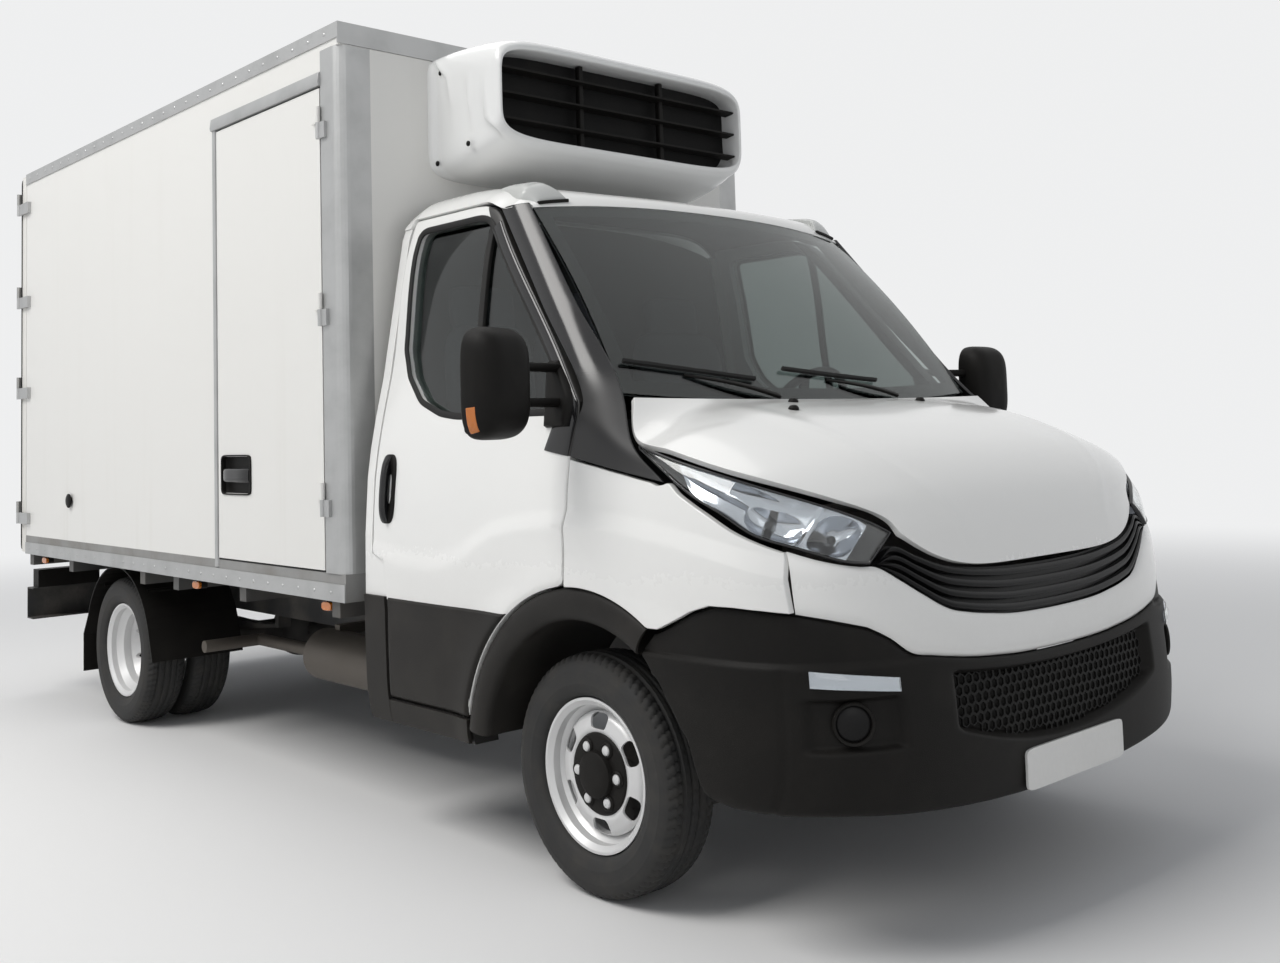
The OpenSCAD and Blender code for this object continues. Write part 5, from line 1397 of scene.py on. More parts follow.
@dataclass
class CabDoor(Handed):
    """One cab door: a pressed skin with a window, seal, sail, cladding, handle, mirror and inner trim."""

    carrier: ClassVar[str] = "door"
    foot: float = 0.457
    thick: float = 0.055
    clad_top: float = 0.795
    mirror_at: Point = (-0.04, -1.226, 1.48)
    mirror_turn: float = 8.0
    mirror_half: tuple[float, float] = (0.101, 0.158)
    mirror_power: float = 4.2

    def loops(self) -> tuple[Array, Array]:
        """The window's and the door's outlines as (x, z) loops that match point by point.

        Returns:
            The window's loop and the door's.
        """
        cx, cz, r = CAB.arch[0], CAB.arch[1], CAB.arch[2] + 0.007
        a = np.radians(np.linspace(168.5, 95.6, 30))
        arch = points(cx + r * np.cos(a), cz + r * np.sin(a))[::-1]
        low = self.foot
        foot = cx - math.sqrt(r * r - (low - cz) ** 2)
        outer = np.vstack([
            walk([(-1.048, 2.114), (-0.68, 2.114), (-0.62, 2.109), (-0.57, 2.096), (-0.535, 2.078),
                  (-0.503, 2.05), (0.012, 1.424), (0.016, 1.38), (-0.0035, 1.262), arch[0]],
                 (40, 3, 3, 2, 2, 60, 6, 8, 20)),
            arch[:-1],
            walk([arch[-1], (foot, low), (-0.958, low), (-0.958, 0.915), (-1.048, 0.94), (-1.048, 2.114)],
                 (1, 40, 30, 8, 70))])
        inner = np.vstack([
            walk([(-0.985, 2.046), (-0.966, 2.066), (-0.62, 2.066), (-0.565, 2.052), (-0.527, 2.018),
                  (-0.052, 1.44), (-0.062, 1.412), (-0.11, 1.398), (-0.16, 1.398)],
                 (4, 36, 5, 5, 60, 6, 8, 20)),
            walk([(-0.16, 1.398), (-0.44, 1.398)], (29,)),
            walk([(-0.44, 1.398), (-0.45, 1.398), (-0.6, 1.398), (-0.7, 1.41), (-0.83, 1.455),
                  (-0.93, 1.545), (-0.976, 1.64), (-0.99, 1.98), (-0.985, 2.046)],
                 (1, 14, 12, 14, 14, 16, 60, 18))])
        return soften(inner, 6), soften(outer, 2)

    def skin(self) -> None:
        """A ring of rows between the window and the outline, each point on the flank, its edges rolled in."""
        inner, outer = self.loops()
        u = steps(56)[..., None]
        p = CAB.flank(inner * (1 - u) + outer * u)
        span = np.linalg.norm(outer - inner, axis=1)[None]
        roll = 0.006 * np.exp(-u[..., 0] * span / 0.006) + 0.006 * np.exp(-(1 - u[..., 0]) * span / 0.006)
        p = p + points(0, roll, 0)
        made = Form.shell(p, p + (0, self.thick, 0), True)
        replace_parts(self.put(made, "door_skin", Finishes.DOOR, 0.003), self.body)
        seal = Form.sweep(CAB.flank(inner, -0.002), oval(0.012, 0.006, 10), ASIDE, True)
        self.put(seal, "window_seal", Finishes.SEAL)
        bar = points(np.linspace(-0.562, -0.558, 20), np.linspace(1.4, 2.045, 20))
        made = Form.sweep(CAB.flank(bar, -0.02), oval(0.016, 0.01, 10, 3), ASIDE)
        self.put(made, "window_bar", Finishes.SEAL)

    def glass(self) -> None:
        """The pane: rows from the middle of the window out to its edge, set back behind the seal."""
        inner, _ = self.loops()
        mid = inner.mean(axis=0)
        u = np.linspace(0.0015, 1.0, 24)[:, None, None]
        xz = mid + (inner - mid) * u
        p = points(xz[..., 0], -CAB.half_w(xz[..., 1]) + 0.026, xz[..., 1])
        pane = self.put(Form.shell(p, p + (0, 0.006, 0), True), "door_pane", Finishes.WINDOW)
        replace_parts(pane, self.name("door_glass"))

    def cladding(self) -> None:
        """The dark lower guard: the flank offset outwards from foot to a level edge, its rim rolled in."""
        cx, cz, r = CAB.arch[0], CAB.arch[1], CAB.arch[2] + 0.009
        v = steps(40)
        u = steps(80).T
        low = self.foot + 0.001
        z = low + (self.clad_top - low) * v + 0 * u
        fore = cx - np.sqrt(np.maximum(r * r - (z - cz) ** 2, 0))
        x = -0.957 + (fore + 0.957) * u
        edge = np.minimum(np.minimum(v, 1 - v) * (self.clad_top - low), np.minimum(u, 1 - u) * 0.45)
        p = CAB.flank(points(x, z), 0.01 * np.tanh(edge / 0.006) - 0.002)
        self.put(Form.shell(p, p + (0, 0.012, 0)), "door_cladding", Finishes.CLADDING)

    def handle(self) -> None:
        """A dark oval cup with a grip bar bowed across it."""
        at = np.array((-0.965, 1.16))
        ring = oval(0.05, 0.118, 72, 3.6)
        u = np.linspace(0.04, 1, 18)[:, None, None]
        lift = 0.012 * (1 - u[..., 0] ** 6) - 0.02 * (1 - u[..., 0] ** 2) ** 2
        p = CAB.flank(at + ring * u, lift + 0.001)
        made = Form.grid(p, False, True)
        made.faces.append(list(range(72)))
        self.put(made, "handle_cup", Finishes.BLACK, 0.0, 60)
        t = np.linspace(-1, 1, 32)
        path = CAB.flank(points(at[0] + 0.006, at[1] + 0.105 * t), 0.016 * (1 - t ** 6))
        self.put(Form.sweep(path, oval(0.018, 0.01, 14, 2.6), AHEAD), "handle_grip", Finishes.GLOSS_BLACK)

    def sail(self) -> None:
        """The dark cover ahead of the window: rows between the window's and the door's slanted edges."""
        front = np.array([(-0.499, 2.04), (0.008, 1.424), (0.012, 1.38), (-0.0075, 1.268)])
        back = np.array([(-0.535, 2.012), (-0.06, 1.442), (-0.076, 1.404), (-0.12, 1.286)])
        t = np.linspace(0, 3, 60)
        k = np.array((0.0, 2.2, 2.5, 3.0))
        a, b = (np.stack([np.interp(t, k, q[:, c]) for c in (0, 1)], axis=1) for q in (front, back))
        v = steps(14)[..., None]
        p = CAB.flank(a * (1 - v) + b * v, 0.004 * np.sin(np.pi * v[..., 0]) ** 0.4 + 0.0005)
        self.put(Form.shell(p, p + (0, 0.004, 0)), "door_sail", Finishes.GLOSS_BLACK, 0.001)

    def at_mirror(self, q: Array) -> Array:
        """Turns local (back to front, out, up) points about the upright and moves them to the mirror.

        Args:
            q: Local points.
        Returns:
            The points in place.
        """
        turn, (x, y, z) = math.radians(self.mirror_turn), self.mirror_at
        ahead = q[..., 0] * math.cos(turn) - q[..., 1] * math.sin(turn)
        across = q[..., 0] * math.sin(turn) + q[..., 1] * math.cos(turn)
        return points(ahead + x, across + y, q[..., 2] + z)

    def mirror(self) -> None:
        """Housing: a superellipse that shrinks along a smooth curve; two bright glasses and an amber lamp."""
        depth = (-0.019, -0.012, 0.01, 0.045, 0.075, 0.09, 0.094)
        size = (0.975, 1.0, 1.0, 0.95, 0.8, 0.52, 0.06)
        fine = curve(np.linspace(0, 6, 40), np.arange(7), points(depth, size))
        loop = oval(*self.mirror_half, 64, self.mirror_power)
        grid = points(fine[:, :1], loop[:, 0] * fine[:, 1:], loop[:, 1] * fine[:, 1:])
        made = Form.tube(self.at_mirror(grid))
        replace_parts(self.put(made, "mirror_housing", Finishes.BLACK, 0.0, 50), self.name("mirror"))
        for stem, low, high in (("mirror_main", -0.072, 0.142), ("mirror_wide", -0.144, -0.084)):
            face = oval(0.088, (high - low) / 2, 48, 5.0)
            flat = self.at_mirror(points(-0.0195, face[:, 0], face[:, 1] + (low + high) / 2))
            self.put(Form.prism(flat, (0.002, 0, 0), (-0.0015, 0, 0)), stem, Finishes.CHROME)
        deep = np.linspace(0.004, 0.036, 12)
        wide = np.interp(deep, depth, size)[:, None, None]
        a = np.radians(np.linspace(190, 229, 30))
        edge = self.mirror_half * signed(points(np.cos(a), np.sin(a)), 2 / self.mirror_power) * wide
        lens, seat = (self.at_mirror(points(deep[:, None], edge[..., 0] * k, edge[..., 1] * k))
                      for k in (1.02, 0.97))
        self.put(Form.shell(lens, seat), "mirror_lamp", Finishes.AMBER, 0.002)

    def mirror_arms(self) -> None:
        """Two oval arms from a rounded foot to the housing; the foot is the flank offset outwards."""
        mx, my, _ = self.mirror_at
        t = np.linspace(0, 1, 20)
        parts = []
        for x, z in ((-0.066, 1.425), (-0.112, 1.53)):
            y = -float(CAB.half_w(z)) + 0.02
            line = points(x + (mx - 0.005 - x) * t, y + (my + 0.09 - y) * t, z)
            parts.append(Form.sweep(line, oval(0.015, 0.014, 16, 2.4), UP))
        front = curve(np.linspace(0, 2, 30), (0, 1, 2), ((-0.106, 1.556), (-0.014, 1.442), (-0.012, 1.352)))
        back = curve(np.linspace(0, 2, 30), (0, 1, 2), ((-0.152, 1.556), (-0.137, 1.442), (-0.122, 1.352)))
        v, u = steps(16), steps(30).T
        rim = np.minimum(np.minimum(v, 1 - v) * 0.1, np.minimum(u, 1 - u) * 0.2)
        xz = front * (1 - v[..., None]) + back * v[..., None]
        foot = CAB.flank(xz, 0.022 * np.tanh(rim / 0.007))
        parts.append(Form.shell(foot, foot + (0, 0.01, 0)))
        self.put(joined(parts), "mirror_arms", Finishes.BLACK)

    def trim(self) -> None:
        """Inner panel by height and station; an arm rest and a bin swell in, the rim rolls off."""
        cx, cz, r = CAB.arch[0], CAB.arch[1], CAB.arch[2] + 0.04
        v, u = steps(70), steps(90).T
        z = 0.77 + 0.6 * v + 0 * u
        fore = np.minimum(-0.075, cx - np.sqrt(np.maximum(r * r - (z - cz) ** 2, 0)))
        x = -0.945 + (fore + 0.945) * u
        rest = 0.036 * bell(z, 1.1, 0.05, 4) * ramp(x, -0.93, -0.86) * ramp(x, -0.3, -0.45)
        pocket = 0.028 * ramp(z, 0.95, 0.92) * ramp(x, -0.9, -0.84) * ramp(u, 0.98, 0.86)
        rim = np.minimum(np.minimum(v, 1 - v) * 0.6, np.minimum(u, 1 - u) * 0.8)
        inward = 0.05 + (0.014 + rest + pocket) * np.tanh(rim / 0.01)
        front, back = (points(x, deep - CAB.half_w(z), z) for deep in (inward, 0.046))
        self.put(Form.shell(front, back), "door_trim", Finishes.TRIM, 0.0, 50)

    def build(self) -> None:
        """Builds every piece of the door."""
        for step in (self.skin, self.glass, self.sail, self.cladding, self.handle, self.mirror,
                     self.mirror_arms, self.trim):
            step()


@dataclass
class CabShell:
    """Roof with its lining, windscreen, pillars, arch lips, sill guards, wipers and roof markers."""

    rear: float = -1.1
    sill_low: float = 0.37
    sill_rear: float = -1.098
    liner_r: float = 0.456
    wiper_up: Point = (0.6, 0, 0.8)
    side_edge: float = 2.121
    front_edge: float = 2.078
    front_top: float = 2.15
    rise: float = 0.072
    brow: float = 0.12

    def roof_at(self, s: Array, v: Array) -> Array:
        """The roof by s, from the screen's top edge back, and v, across.

        The first rows are the brow, a parabola from the screen's edge over a knee to the top. Behind it the
        height stands over the side edge by a tenth power of the width; the edge follows the doors' tops down.

        Args:
            s: 0 at the screen, 1 at the rear edge.
            v: -1 at the right edge, 1 at the left.
        Returns:
            Points, with x, y, z as a last axis.
        """
        u = 0.03 + 0.97 * np.clip((s - self.brow) / (1 - self.brow), 0, 1)
        fore = -0.4 - 0.03 * np.abs(v) ** 2.5
        x = fore + (self.rear - fore) * u
        edge = self.side_edge - (self.side_edge - self.front_edge) * ramp(x, -0.62, -0.47)
        edge = edge - 0.033 * ramp(x, -1.046, -1.054)
        lift = self.rise * np.sin(np.radians(np.minimum(90, 130 * u)))
        top = self.front_top + lift - 0.02 * ramp(u, 0.94, 1.0) ** 2
        bead = 0.004 * bell(np.abs(v), 0.45, 0.05) * ramp(u, 0.2, 0.3) * ramp(u, 0.95, 0.85)
        z = edge + (top - edge) * (1 - np.abs(v) ** 10) + bead
        flat = points(x, v * (CAB.half_w(edge) + 0.006), z)
        low = self.screen_at(self.screen_top(v), v) + SCREEN_OUT * 0.002
        knee = self.screen_at(1.02 + 0 * v, v) + SCREEN_OUT * 0.012
        t = np.clip(s / self.brow, 0, 1)[..., None]
        return (1 - t) ** 2 * low + 2 * t * (1 - t) * knee + t * t * flat

    def roof(self) -> None:
        """The outer sheet of the roof, a wall under it and a dark lining below that."""
        s, v = steps(76), np.sin(np.linspace(-np.pi / 2, np.pi / 2, 110))[None]
        p = self.roof_at(s, v)
        rim = p[:, :1, 2:] - 0.004
        under = np.concatenate([p[..., :1], p[..., 1:2] * 0.985, np.maximum(p[..., 2:] - 0.03, rim)], axis=-1)
        under = np.where((s < self.brow)[..., None], p - SCREEN_OUT * 0.012, under)
        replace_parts(Form.shell(p, under).piece("roof_skin", Finishes.WHITE, 0.004), "cab_roof")
        lining = under[12:-2, 3:-3] * (1, 0.985, 1) - (0, 0, 0.003)
        Form.shell(lining, lining - (0, 0, 0.004)).piece("roof_lining", Finishes.TRIM)

    @staticmethod
    def screen_top(v: Array) -> Array:
        """How far up its surface the windscreen reaches, by width."""
        return 0.952 + 0.035 * np.abs(v) ** 3

    @staticmethod
    def screen_at(u: Array, v: Array) -> Array:
        """The windscreen by height and width: a bowed blend of its lower and upper edge curves.

        Args:
            u: 0 at the lower edge, 1 at the upper.
            v: -1 at the right edge, 1 at the left.
        Returns:
            Points, with x, y, z as a last axis.
        """
        a = np.abs(v)
        bow = 0.024 * np.sin(np.pi * u)
        x = (0.182 - 0.066 * a ** 2.2) * (1 - u) + (-0.366 - 0.034 * a ** 2.5) * u + bow * 0.75
        y = (0.868 - 0.088 * u) * v
        z = (1.412 + 0.034 * a ** 2) * (1 - u) + (2.142 - 0.062 * a ** 2.5) * u + bow * 0.6
        return points(x, y, z)

    def screen(self) -> None:
        """The pane and the dark band that runs round its edge behind it."""
        v = np.linspace(-1, 1, 70)[None]
        p = self.screen_at(steps(40) * self.screen_top(v), v)
        pane = Form.wall(p, 0.007, (1, 0, 0.7))
        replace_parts(pane.piece("screen_pane", Finishes.WINDOW), "windscreen")
        ring = resample(np.array([(0, -1), (1, -1), (1, 1), (0, 1)], float), 200, True)
        far = np.clip(ring, (0.07, -0.93), (0.945, 0.93))
        w = steps(4)[..., None]
        uv = ring * (1 - w) + far * w
        band = self.screen_at(uv[..., 0] * self.screen_top(uv[..., 1]), uv[..., 1]) - SCREEN_OUT * 0.0105
        Form.shell(band, band - SCREEN_OUT * 0.001, True).piece("screen_band", Finishes.GLOSS_BLACK)

    def pillars(self) -> None:
        """Covers by height between a rear and a front edge, bowed outwards across their width."""
        rows = ((0.004, 0.981, 1.266, 0.398, 0.984, 1.196), (0.024, 0.964, 1.376, 0.262, 0.972, 1.302),
                (0.026, 0.946, 1.426, 0.15, 0.898, 1.432), (-0.24, 0.884, 1.75, -0.122, 0.848, 1.752),
                (-0.514, 0.82, 2.084, -0.398, 0.794, 2.09))
        k = np.array((0.0, 0.55, 1.0, 2.4, 3.8))
        row = curve(np.linspace(0, 3.8, 70), k, rows)[:, None]
        v = np.linspace(0, 1, 20)
        bow = 0.014 * np.sin(np.pi * v)
        p = (row[..., :3] * (1 - v[:, None]) + row[..., 3:] * v[:, None]) * (1, -1, 1)
        p = p + points(bow * 0.6, -bow, 0)
        made = Form.shell(p, p + points(-0.009 * v, 0.03 * (1 - 0.6 * v), 0))
        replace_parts(made.both().piece("pillar_covers", Finishes.PILLAR, 0.003), "pillars")

    def arch_lips(self) -> None:
        """Dark lips: a rounded profile carried round each front arch, and the guards below the doors."""
        cx, cz, r = CAB.arch
        a = np.radians(np.linspace(58, 172, 90))
        u = steps(16)
        rad = self.liner_r + (r - self.liner_r) * u
        x, z = cx + rad * np.cos(a), cz + rad * np.sin(a)
        lift = 0.018 * np.sin(np.pi * u) ** 0.5 - 0.004
        grid = np.concatenate([[points(x[0], y, z[0]) for y in (-0.58, -0.98)],
                               points(x, -(CAB.half + lift), z), [points(x[-1], -0.965, z[-1])]])
        thick = np.repeat([(0, 0, 0.004), (0, 0.008, 0)], (2, 17), axis=0)[:, None]
        made = Form.shell(grid, grid + thick)
        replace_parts(made.both().piece("arch_liners", Finishes.CLADDING, 0.002, 50), "wheel_arches")
        v = steps(20)
        w = steps(90).T
        z = self.sill_low + 0.078 * v
        fore = cx - np.sqrt((r + 0.009) ** 2 - (z - cz) ** 2)
        guard = CAB.flank(points(self.sill_rear + (fore - self.sill_rear) * w, z), 0.006)
        tail = CAB.flank(points(self.sill_rear + 0.132 * w, self.sill_low + 0.425 * v), 0.007)
        sill = joined([Form.shell(p, p + (0, 0.014, 0)) for p in (guard, tail)])
        sill.both().piece("sill_guards", Finishes.CLADDING, 0.003)

    def wipers(self) -> None:
        """Two arms from the scuttle, each with a blade that lies on the screen."""
        rubber = np.array([(-0.004, -0.006), (0.004, -0.006), (0.006, 0.004), (0.0, 0.01), (-0.006, 0.004)])
        t = np.linspace(0, 1, 30)
        lift = np.array((0.016, 0, 0.014)) * np.sin(np.pi * (0.25 + 0.7 * t))[:, None]
        arms, blades = [], []
        for v0, v1 in ((-0.3, -0.96), (0.42, -0.2)):
            blade = self.screen_at(0.035 + 0.05 * t + 0.05, v0 + (v1 - v0) * (0.12 + 0.88 * t))
            blade = blade + (0.008, 0, 0.007)
            arm = self.screen_at(0.01 + 0.085 * t, v0 + (v1 - v0) * 0.62 * t) + lift
            arms.append(Form.sweep(arm, oval(0.008, 0.005, 10, 3), self.wiper_up, False, 1.4 - 0.7 * t))
            blades.append(Form.sweep(blade, rubber, self.wiper_up))
        joined(arms).piece("wiper_arms", Finishes.BLACK)
        joined(blades).piece("wiper_blades", Finishes.SEAL)

    def markers(self) -> None:
        """Wedge lamps on the roof's front corners: a height curve over a strip that narrows to its tail."""
        t, w = steps(36), np.linspace(-1, 1, 24)[None]
        tall = curve(t, (0, 0.12, 0.32, 0.62, 1.0), (0.004, 0.02, 0.03, 0.02, 0.003))
        strip = (0.04 + 0.36 * t, -0.895 + 0.03 * t + w * (0.018 + 0.058 * (1 - t) ** 0.7))
        seat = self.roof_at(*strip)
        lift = (0.003 + tall * (1 - np.abs(w) ** 4) ** 0.6)[..., None] * np.array((0.1, 0, 1))
        lens = Form.shell(seat + lift, seat - (0, 0, 0.004))
        lens.both().piece("roof_lamp_lenses", Finishes.MARKER, 0.001)
        line = self.roof_at(np.full(24, 0.032), np.linspace(-0.968, -0.822, 24)) + SCREEN_OUT * 0.003
        foot = Form.sweep(line, oval(0.007, 0.006, 12, 3), UP)
        foot.both().piece("roof_lamp_feet", Finishes.BLACK)

    def build(self) -> None:
        """Builds every piece of the shell."""
        for step in (self.roof, self.screen, self.pillars, self.arch_lips, self.wipers, self.markers):
            step()


@dataclass
class Tyre:
    """A road tyre, single or twin, with ribs, grooves, shoulder blocks and sidewall rings."""

    node: str
    body: str
    axis_y: tuple[float, ...]
    x: float
    outer: float = 0.347
    width: float = 0.195
    bead: float = 0.2205
    blocks: int = 75
    grooves: tuple[float, ...] = (-0.044, -0.0145, 0.0145, 0.044)

    def build(self) -> None:
        """The section is turned about the axle; grooves run round the tread, slanted cuts across it."""
        half = self.width / 2
        foot = self.bead + 0.002
        knots = np.array([(foot, -half + 0.03), (self.bead + 0.01, -half + 0.016), (0.255, -half + 0.003),
                          (0.285, -half), (0.312, -half + 0.004), (0.33, -half + 0.014),
                          (0.3405, -half + 0.026), (0.345, -half + 0.045), (0.347, 0.0)])
        knots = np.vstack([knots, (knots[:-1] * (1, -1))[::-1]])
        k = np.concatenate([[0], np.cumsum(np.linalg.norm(np.diff(knots, axis=0), axis=1))])
        section = curve(np.linspace(0, k[-1], 120), k, knots)
        rad, along = section[:, 0, None], section[:, 1, None]
        th = turn_by(300)[None]
        tread = ramp(rad, 0.338, 0.343)
        groove = sum(bell(along, at, 0.0045, 4) for at in self.grooves)
        turn, off = th * self.blocks / (2 * np.pi), np.abs(along)
        cut = ramp(off, 0.048, 0.052) * bell(np.mod(turn + along * 18, 1), 0.5, 0.16, 4)
        cut = cut * ramp(rad, 0.322, 0.334)
        sipe = ramp(off, 0.046, 0.042) * bell(np.mod(turn - along * 30, 1), 0.5, 0.1, 4) * tread * 0.45
        rings = 0.0012 * (bell(rad, 0.262, 0.003) + bell(rad, 0.3, 0.002)) * (1 - tread)
        depth = np.maximum(np.maximum(0.008 * groove * tread, 0.006 * cut), 0.006 * sipe)
        r = np.vstack([rad - depth, np.full((2, th.size), foot)])
        a = np.vstack([along * (1 + rings / half), [[half - 0.03], [-half + 0.03]]])
        made = [Form.grid(points(self.x + r * np.sin(th), y + a, self.outer + r * np.cos(th)), True, True)
                for y in self.axis_y]
        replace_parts(joined(made).piece(self.node + "_tread", Finishes.TYRE, 0.0, 50, self.body), self.node)


@dataclass
class CoolingUnit:
    """The cooling unit over the cab: a lofted shell with a dark mouth, slats and fixing bolts."""

    count: int = 160
    rows: tuple = ((-1.163, 0.67, 2.301, 2.791, 9.0), (-1.05, 0.669, 2.304, 2.791, 9.0),
                   (-0.93, 0.66, 2.322, 2.79, 8.0), (-0.83, 0.648, 2.346, 2.786, 7.0),
                   (-0.78, 0.64, 2.368, 2.778, 6.5), (-0.76, 0.634, 2.385, 2.766, 6.0),
                   (-0.7555, 0.627, 2.398, 2.752, 6.0), (-0.762, 0.62, 2.409, 2.741, 6.5),
                   (-0.8, 0.615, 2.414, 2.736, 7.0), (-0.846, 0.612, 2.417, 2.733, 7.0))
    bolts: tuple = ((-1.13, 2.36), (-0.93, 2.4), (-1.1, 2.7))
    slats: tuple[float, ...] = (2.478, 2.572, 2.664)
    uprights: tuple[float, ...] = (-0.21, 0.21)

    def ring(self, row: Array) -> Array:
        """A superellipse in the crosswise plane for each row of x, half width, low, high and power.

        Args:
            row: One row, or an array of rows.
        Returns:
            The points of each ring.
        """
        a = turn_by(self.count)
        x, half, low, high, power = np.moveaxis(row[..., None], -2, 0)
        y = half * signed(np.cos(a), 2 / power)
        z = (low + high) / 2 + (high - low) / 2 * signed(np.sin(a), 2 / power)
        return points(x, y, z)

    def shell(self) -> None:
        """Rings lofted from the wall to the mouth; the flanks swell ahead of a slanted crease."""
        k = np.arange(len(self.rows))
        p = self.ring(curve(np.linspace(0, k[-1], 90), k, self.rows))
        x, y, z = p[..., 0], p[..., 1], p[..., 2]
        flank = ramp(np.abs(y), 0.52, 0.64) * ramp(z, 2.775, 2.74)
        flank = flank * ramp(x, -0.765, -0.8) * ramp(x, -1.155, -1.12)
        line = 2.745 - (x + 1.13) / 0.34 * 0.31
        swell = flank * (0.018 * ramp(z, line - 0.012, line + 0.012) + 0.008 * bell(z, line, 0.02))
        p[..., 1] = y - np.sign(y) * (flank * 0.02 - swell)
        made = Form.wall(p, 0.006, UP, True)
        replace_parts(made.piece("cooler_shell", Finishes.COOLER, 0.0, 50), "cooler_housing")
        head = [(0.01, 0.0), (0.01, 0.004), (0.006, 0.007), (0.002, 0.0075)]
        bolts = [Form.lathe(head, (bx, side * 0.65, bz), (0, side, 0), 16)
                 for side in (RIGHT, LEFT) for bx, bz in self.bolts]
        joined(bolts).piece("cooler_bolts", Finishes.BLACK)

    def mouth(self) -> None:
        """A dark net behind three slats and two uprights."""
        row = np.array(self.rows[-1])
        u = np.linspace(1, 0.02, 14)[:, None, None]
        ring = self.ring(row)
        mid = np.array((row[0], 0.0, (row[2] + row[3]) / 2))
        made = Form.tube(mid + (ring - mid) * u, False)
        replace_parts(made.piece("cooler_net", Finishes.NET), "cooler_grille")
        y, z = np.linspace(-0.612, 0.612, 40), np.linspace(2.418, 2.732, 12)
        slat = np.array([(-0.022, -0.01), (0.022, -0.003), (0.022, 0.004), (-0.022, 0.012)])
        bars = [Form.sweep(points(-0.8, y, at), slat) for at in self.slats]
        bars += [Form.sweep(points(-0.815, at, z), oval(0.011, 0.014, 12, 4), AHEAD) for at in self.uprights]
        joined(bars).piece("cooler_slats", Finishes.BLACK, 0.001)

    def build(self) -> None:
        """Builds the unit."""
        self.shell()
        self.mouth()


@dataclass
class BoxTrim:
    """What the insulated box carries: door frame and seals, lock, knobs, rivets and marker lamps."""

    skin: float = -1.052
    door: tuple[float, float, float, float] = (-2.171, -1.291, 0.859, 2.631)
    lock: tuple[float, float, float, float] = (-2.0, 1.203, 0.132, 0.08)
    markers: tuple[float, ...] = (-1.32, -2.42, -4.3)
    rails: tuple[float, float] = (0.792, 2.812)

    def door_frame(self) -> None:
        """A drip rail over the side door, a strip behind it and dark seals in the gaps."""
        x0, x1, z0, z1 = self.door
        rail = np.array([(-0.002, -0.002), (0.012, 0.0), (0.016, 0.012), (0.01, 0.05), (-0.002, 0.052)])
        path = points(np.linspace(x0 - 0.03, x1, 30), self.skin + 0.004, z1)
        strip = np.array([(-0.015, -0.004), (0.015, -0.004), (0.012, 0.006), (-0.012, 0.006)])
        post = points(x0 - 0.016, self.skin + 0.004, np.linspace(z0 - 0.03, z1, 30))
        made = Form.sweep(path, rail) + Form.sweep(post, strip, ASIDE)
        made.piece("side_door_frame", Finishes.EDGE, 0.0015)
        t, y, lip = np.linspace(0, 1, 16), self.skin + 0.012, oval(0.0035, 0.009, 8)
        x, z = x0 * (1 - t) + x1 * t, z0 * (1 - t) + z1 * t
        lines = [points(at, y, z) for at in (x0 + 0.004, x1 - 0.004)]
        lines += [points(x, y, at) for at in (z1 - 0.004, z0 + 0.004)]
        joined([Form.sweep(line, lip, ASIDE) for line in lines]).piece("side_door_seals", Finishes.SEAL)

    def lock_box(self) -> None:
        """A dark pan let into the side door: rings from a raised rim down to its floor, and a bow grip."""
        x, z, w, h = self.lock
        ring = oval(w, h, 96, 9.0)
        knots = (0, 0.2, 0.4, 0.6, 1.0)
        size = curve(steps(12), knots, (1.0, 1.0, 0.93, 0.9, 0.02))
        deep = curve(steps(12), knots, (0.002, -0.005, -0.004, 0.018, 0.019))
        made = Form.tube(points(x + ring[:, 0] * size, self.skin + deep, z + ring[:, 1] * size), False)
        made.piece("side_lock_pan", Finishes.BLACK, 0.0, 40, Body.SIDE_DOOR)
        t = np.linspace(-1, 1, 30)
        path = points(x - 0.005 + 0.106 * t, self.skin + 0.016 - 0.012 * (1 - t ** 4), z - 0.002)
        grip = Form.sweep(path, oval(0.02, 0.029, 20, 4))
        grip.piece("side_lock_grip", Finishes.GLOSS_BLACK, body=Body.SIDE_DOOR)

    def small_parts(self) -> None:
        """Door stay knobs on both flanks, marker lamps under the rails and rivets along them."""
        knob = [(0.02, -0.006), (0.02, 0.004), (0.034, 0.007), (0.036, 0.012), (0.028, 0.0165),
                (0.003, 0.018)]
        one = Form.lathe(knob, (-3.88, self.skin + 0.004, 1.06), ASIDE, 28)
        one.both().piece("door_stay_knobs", Finishes.BLACK)
        loop, lens, foot = oval(0.034, 0.016, 32, 3), [], []
        for x in self.markers:
            base = points(x + loop[:, 0], 0, 0.737 + loop[:, 1])
            lens.append(Form.prism(base[::-1], (0, -1.04, 0), (0, -1.026, 0)))
            foot += [Form.prism(base, (0, -1.027, 0), (0, -1.0, 0)),
                     Form.block((x - 0.012, -1.03, 0.735), (x + 0.012, -0.995, 0.766))]
        joined(lens).both().piece("side_marker_lenses", Finishes.AMBER, 0.003)
        joined(foot).both().piece("side_marker_feet", Finishes.BLACK, 0.001)
        a = turn_by(8)
        r, out = np.array([[0.007], [0.004]]), np.array([[0.0], [-0.0025]])
        dome = points(r * np.cos(a), out, r * np.sin(a))
        rivets = [Form.tube(dome + (x, self.skin, z), False)
                  for z in self.rails for x in np.arange(-4.5, -1.22, 0.12)]
        joined(rivets).both().piece("rail_rivets", Finishes.EDGE)

    def build(self) -> None:
        """Builds the trim."""
        self.door_frame()
        self.lock_box()
        self.small_parts()


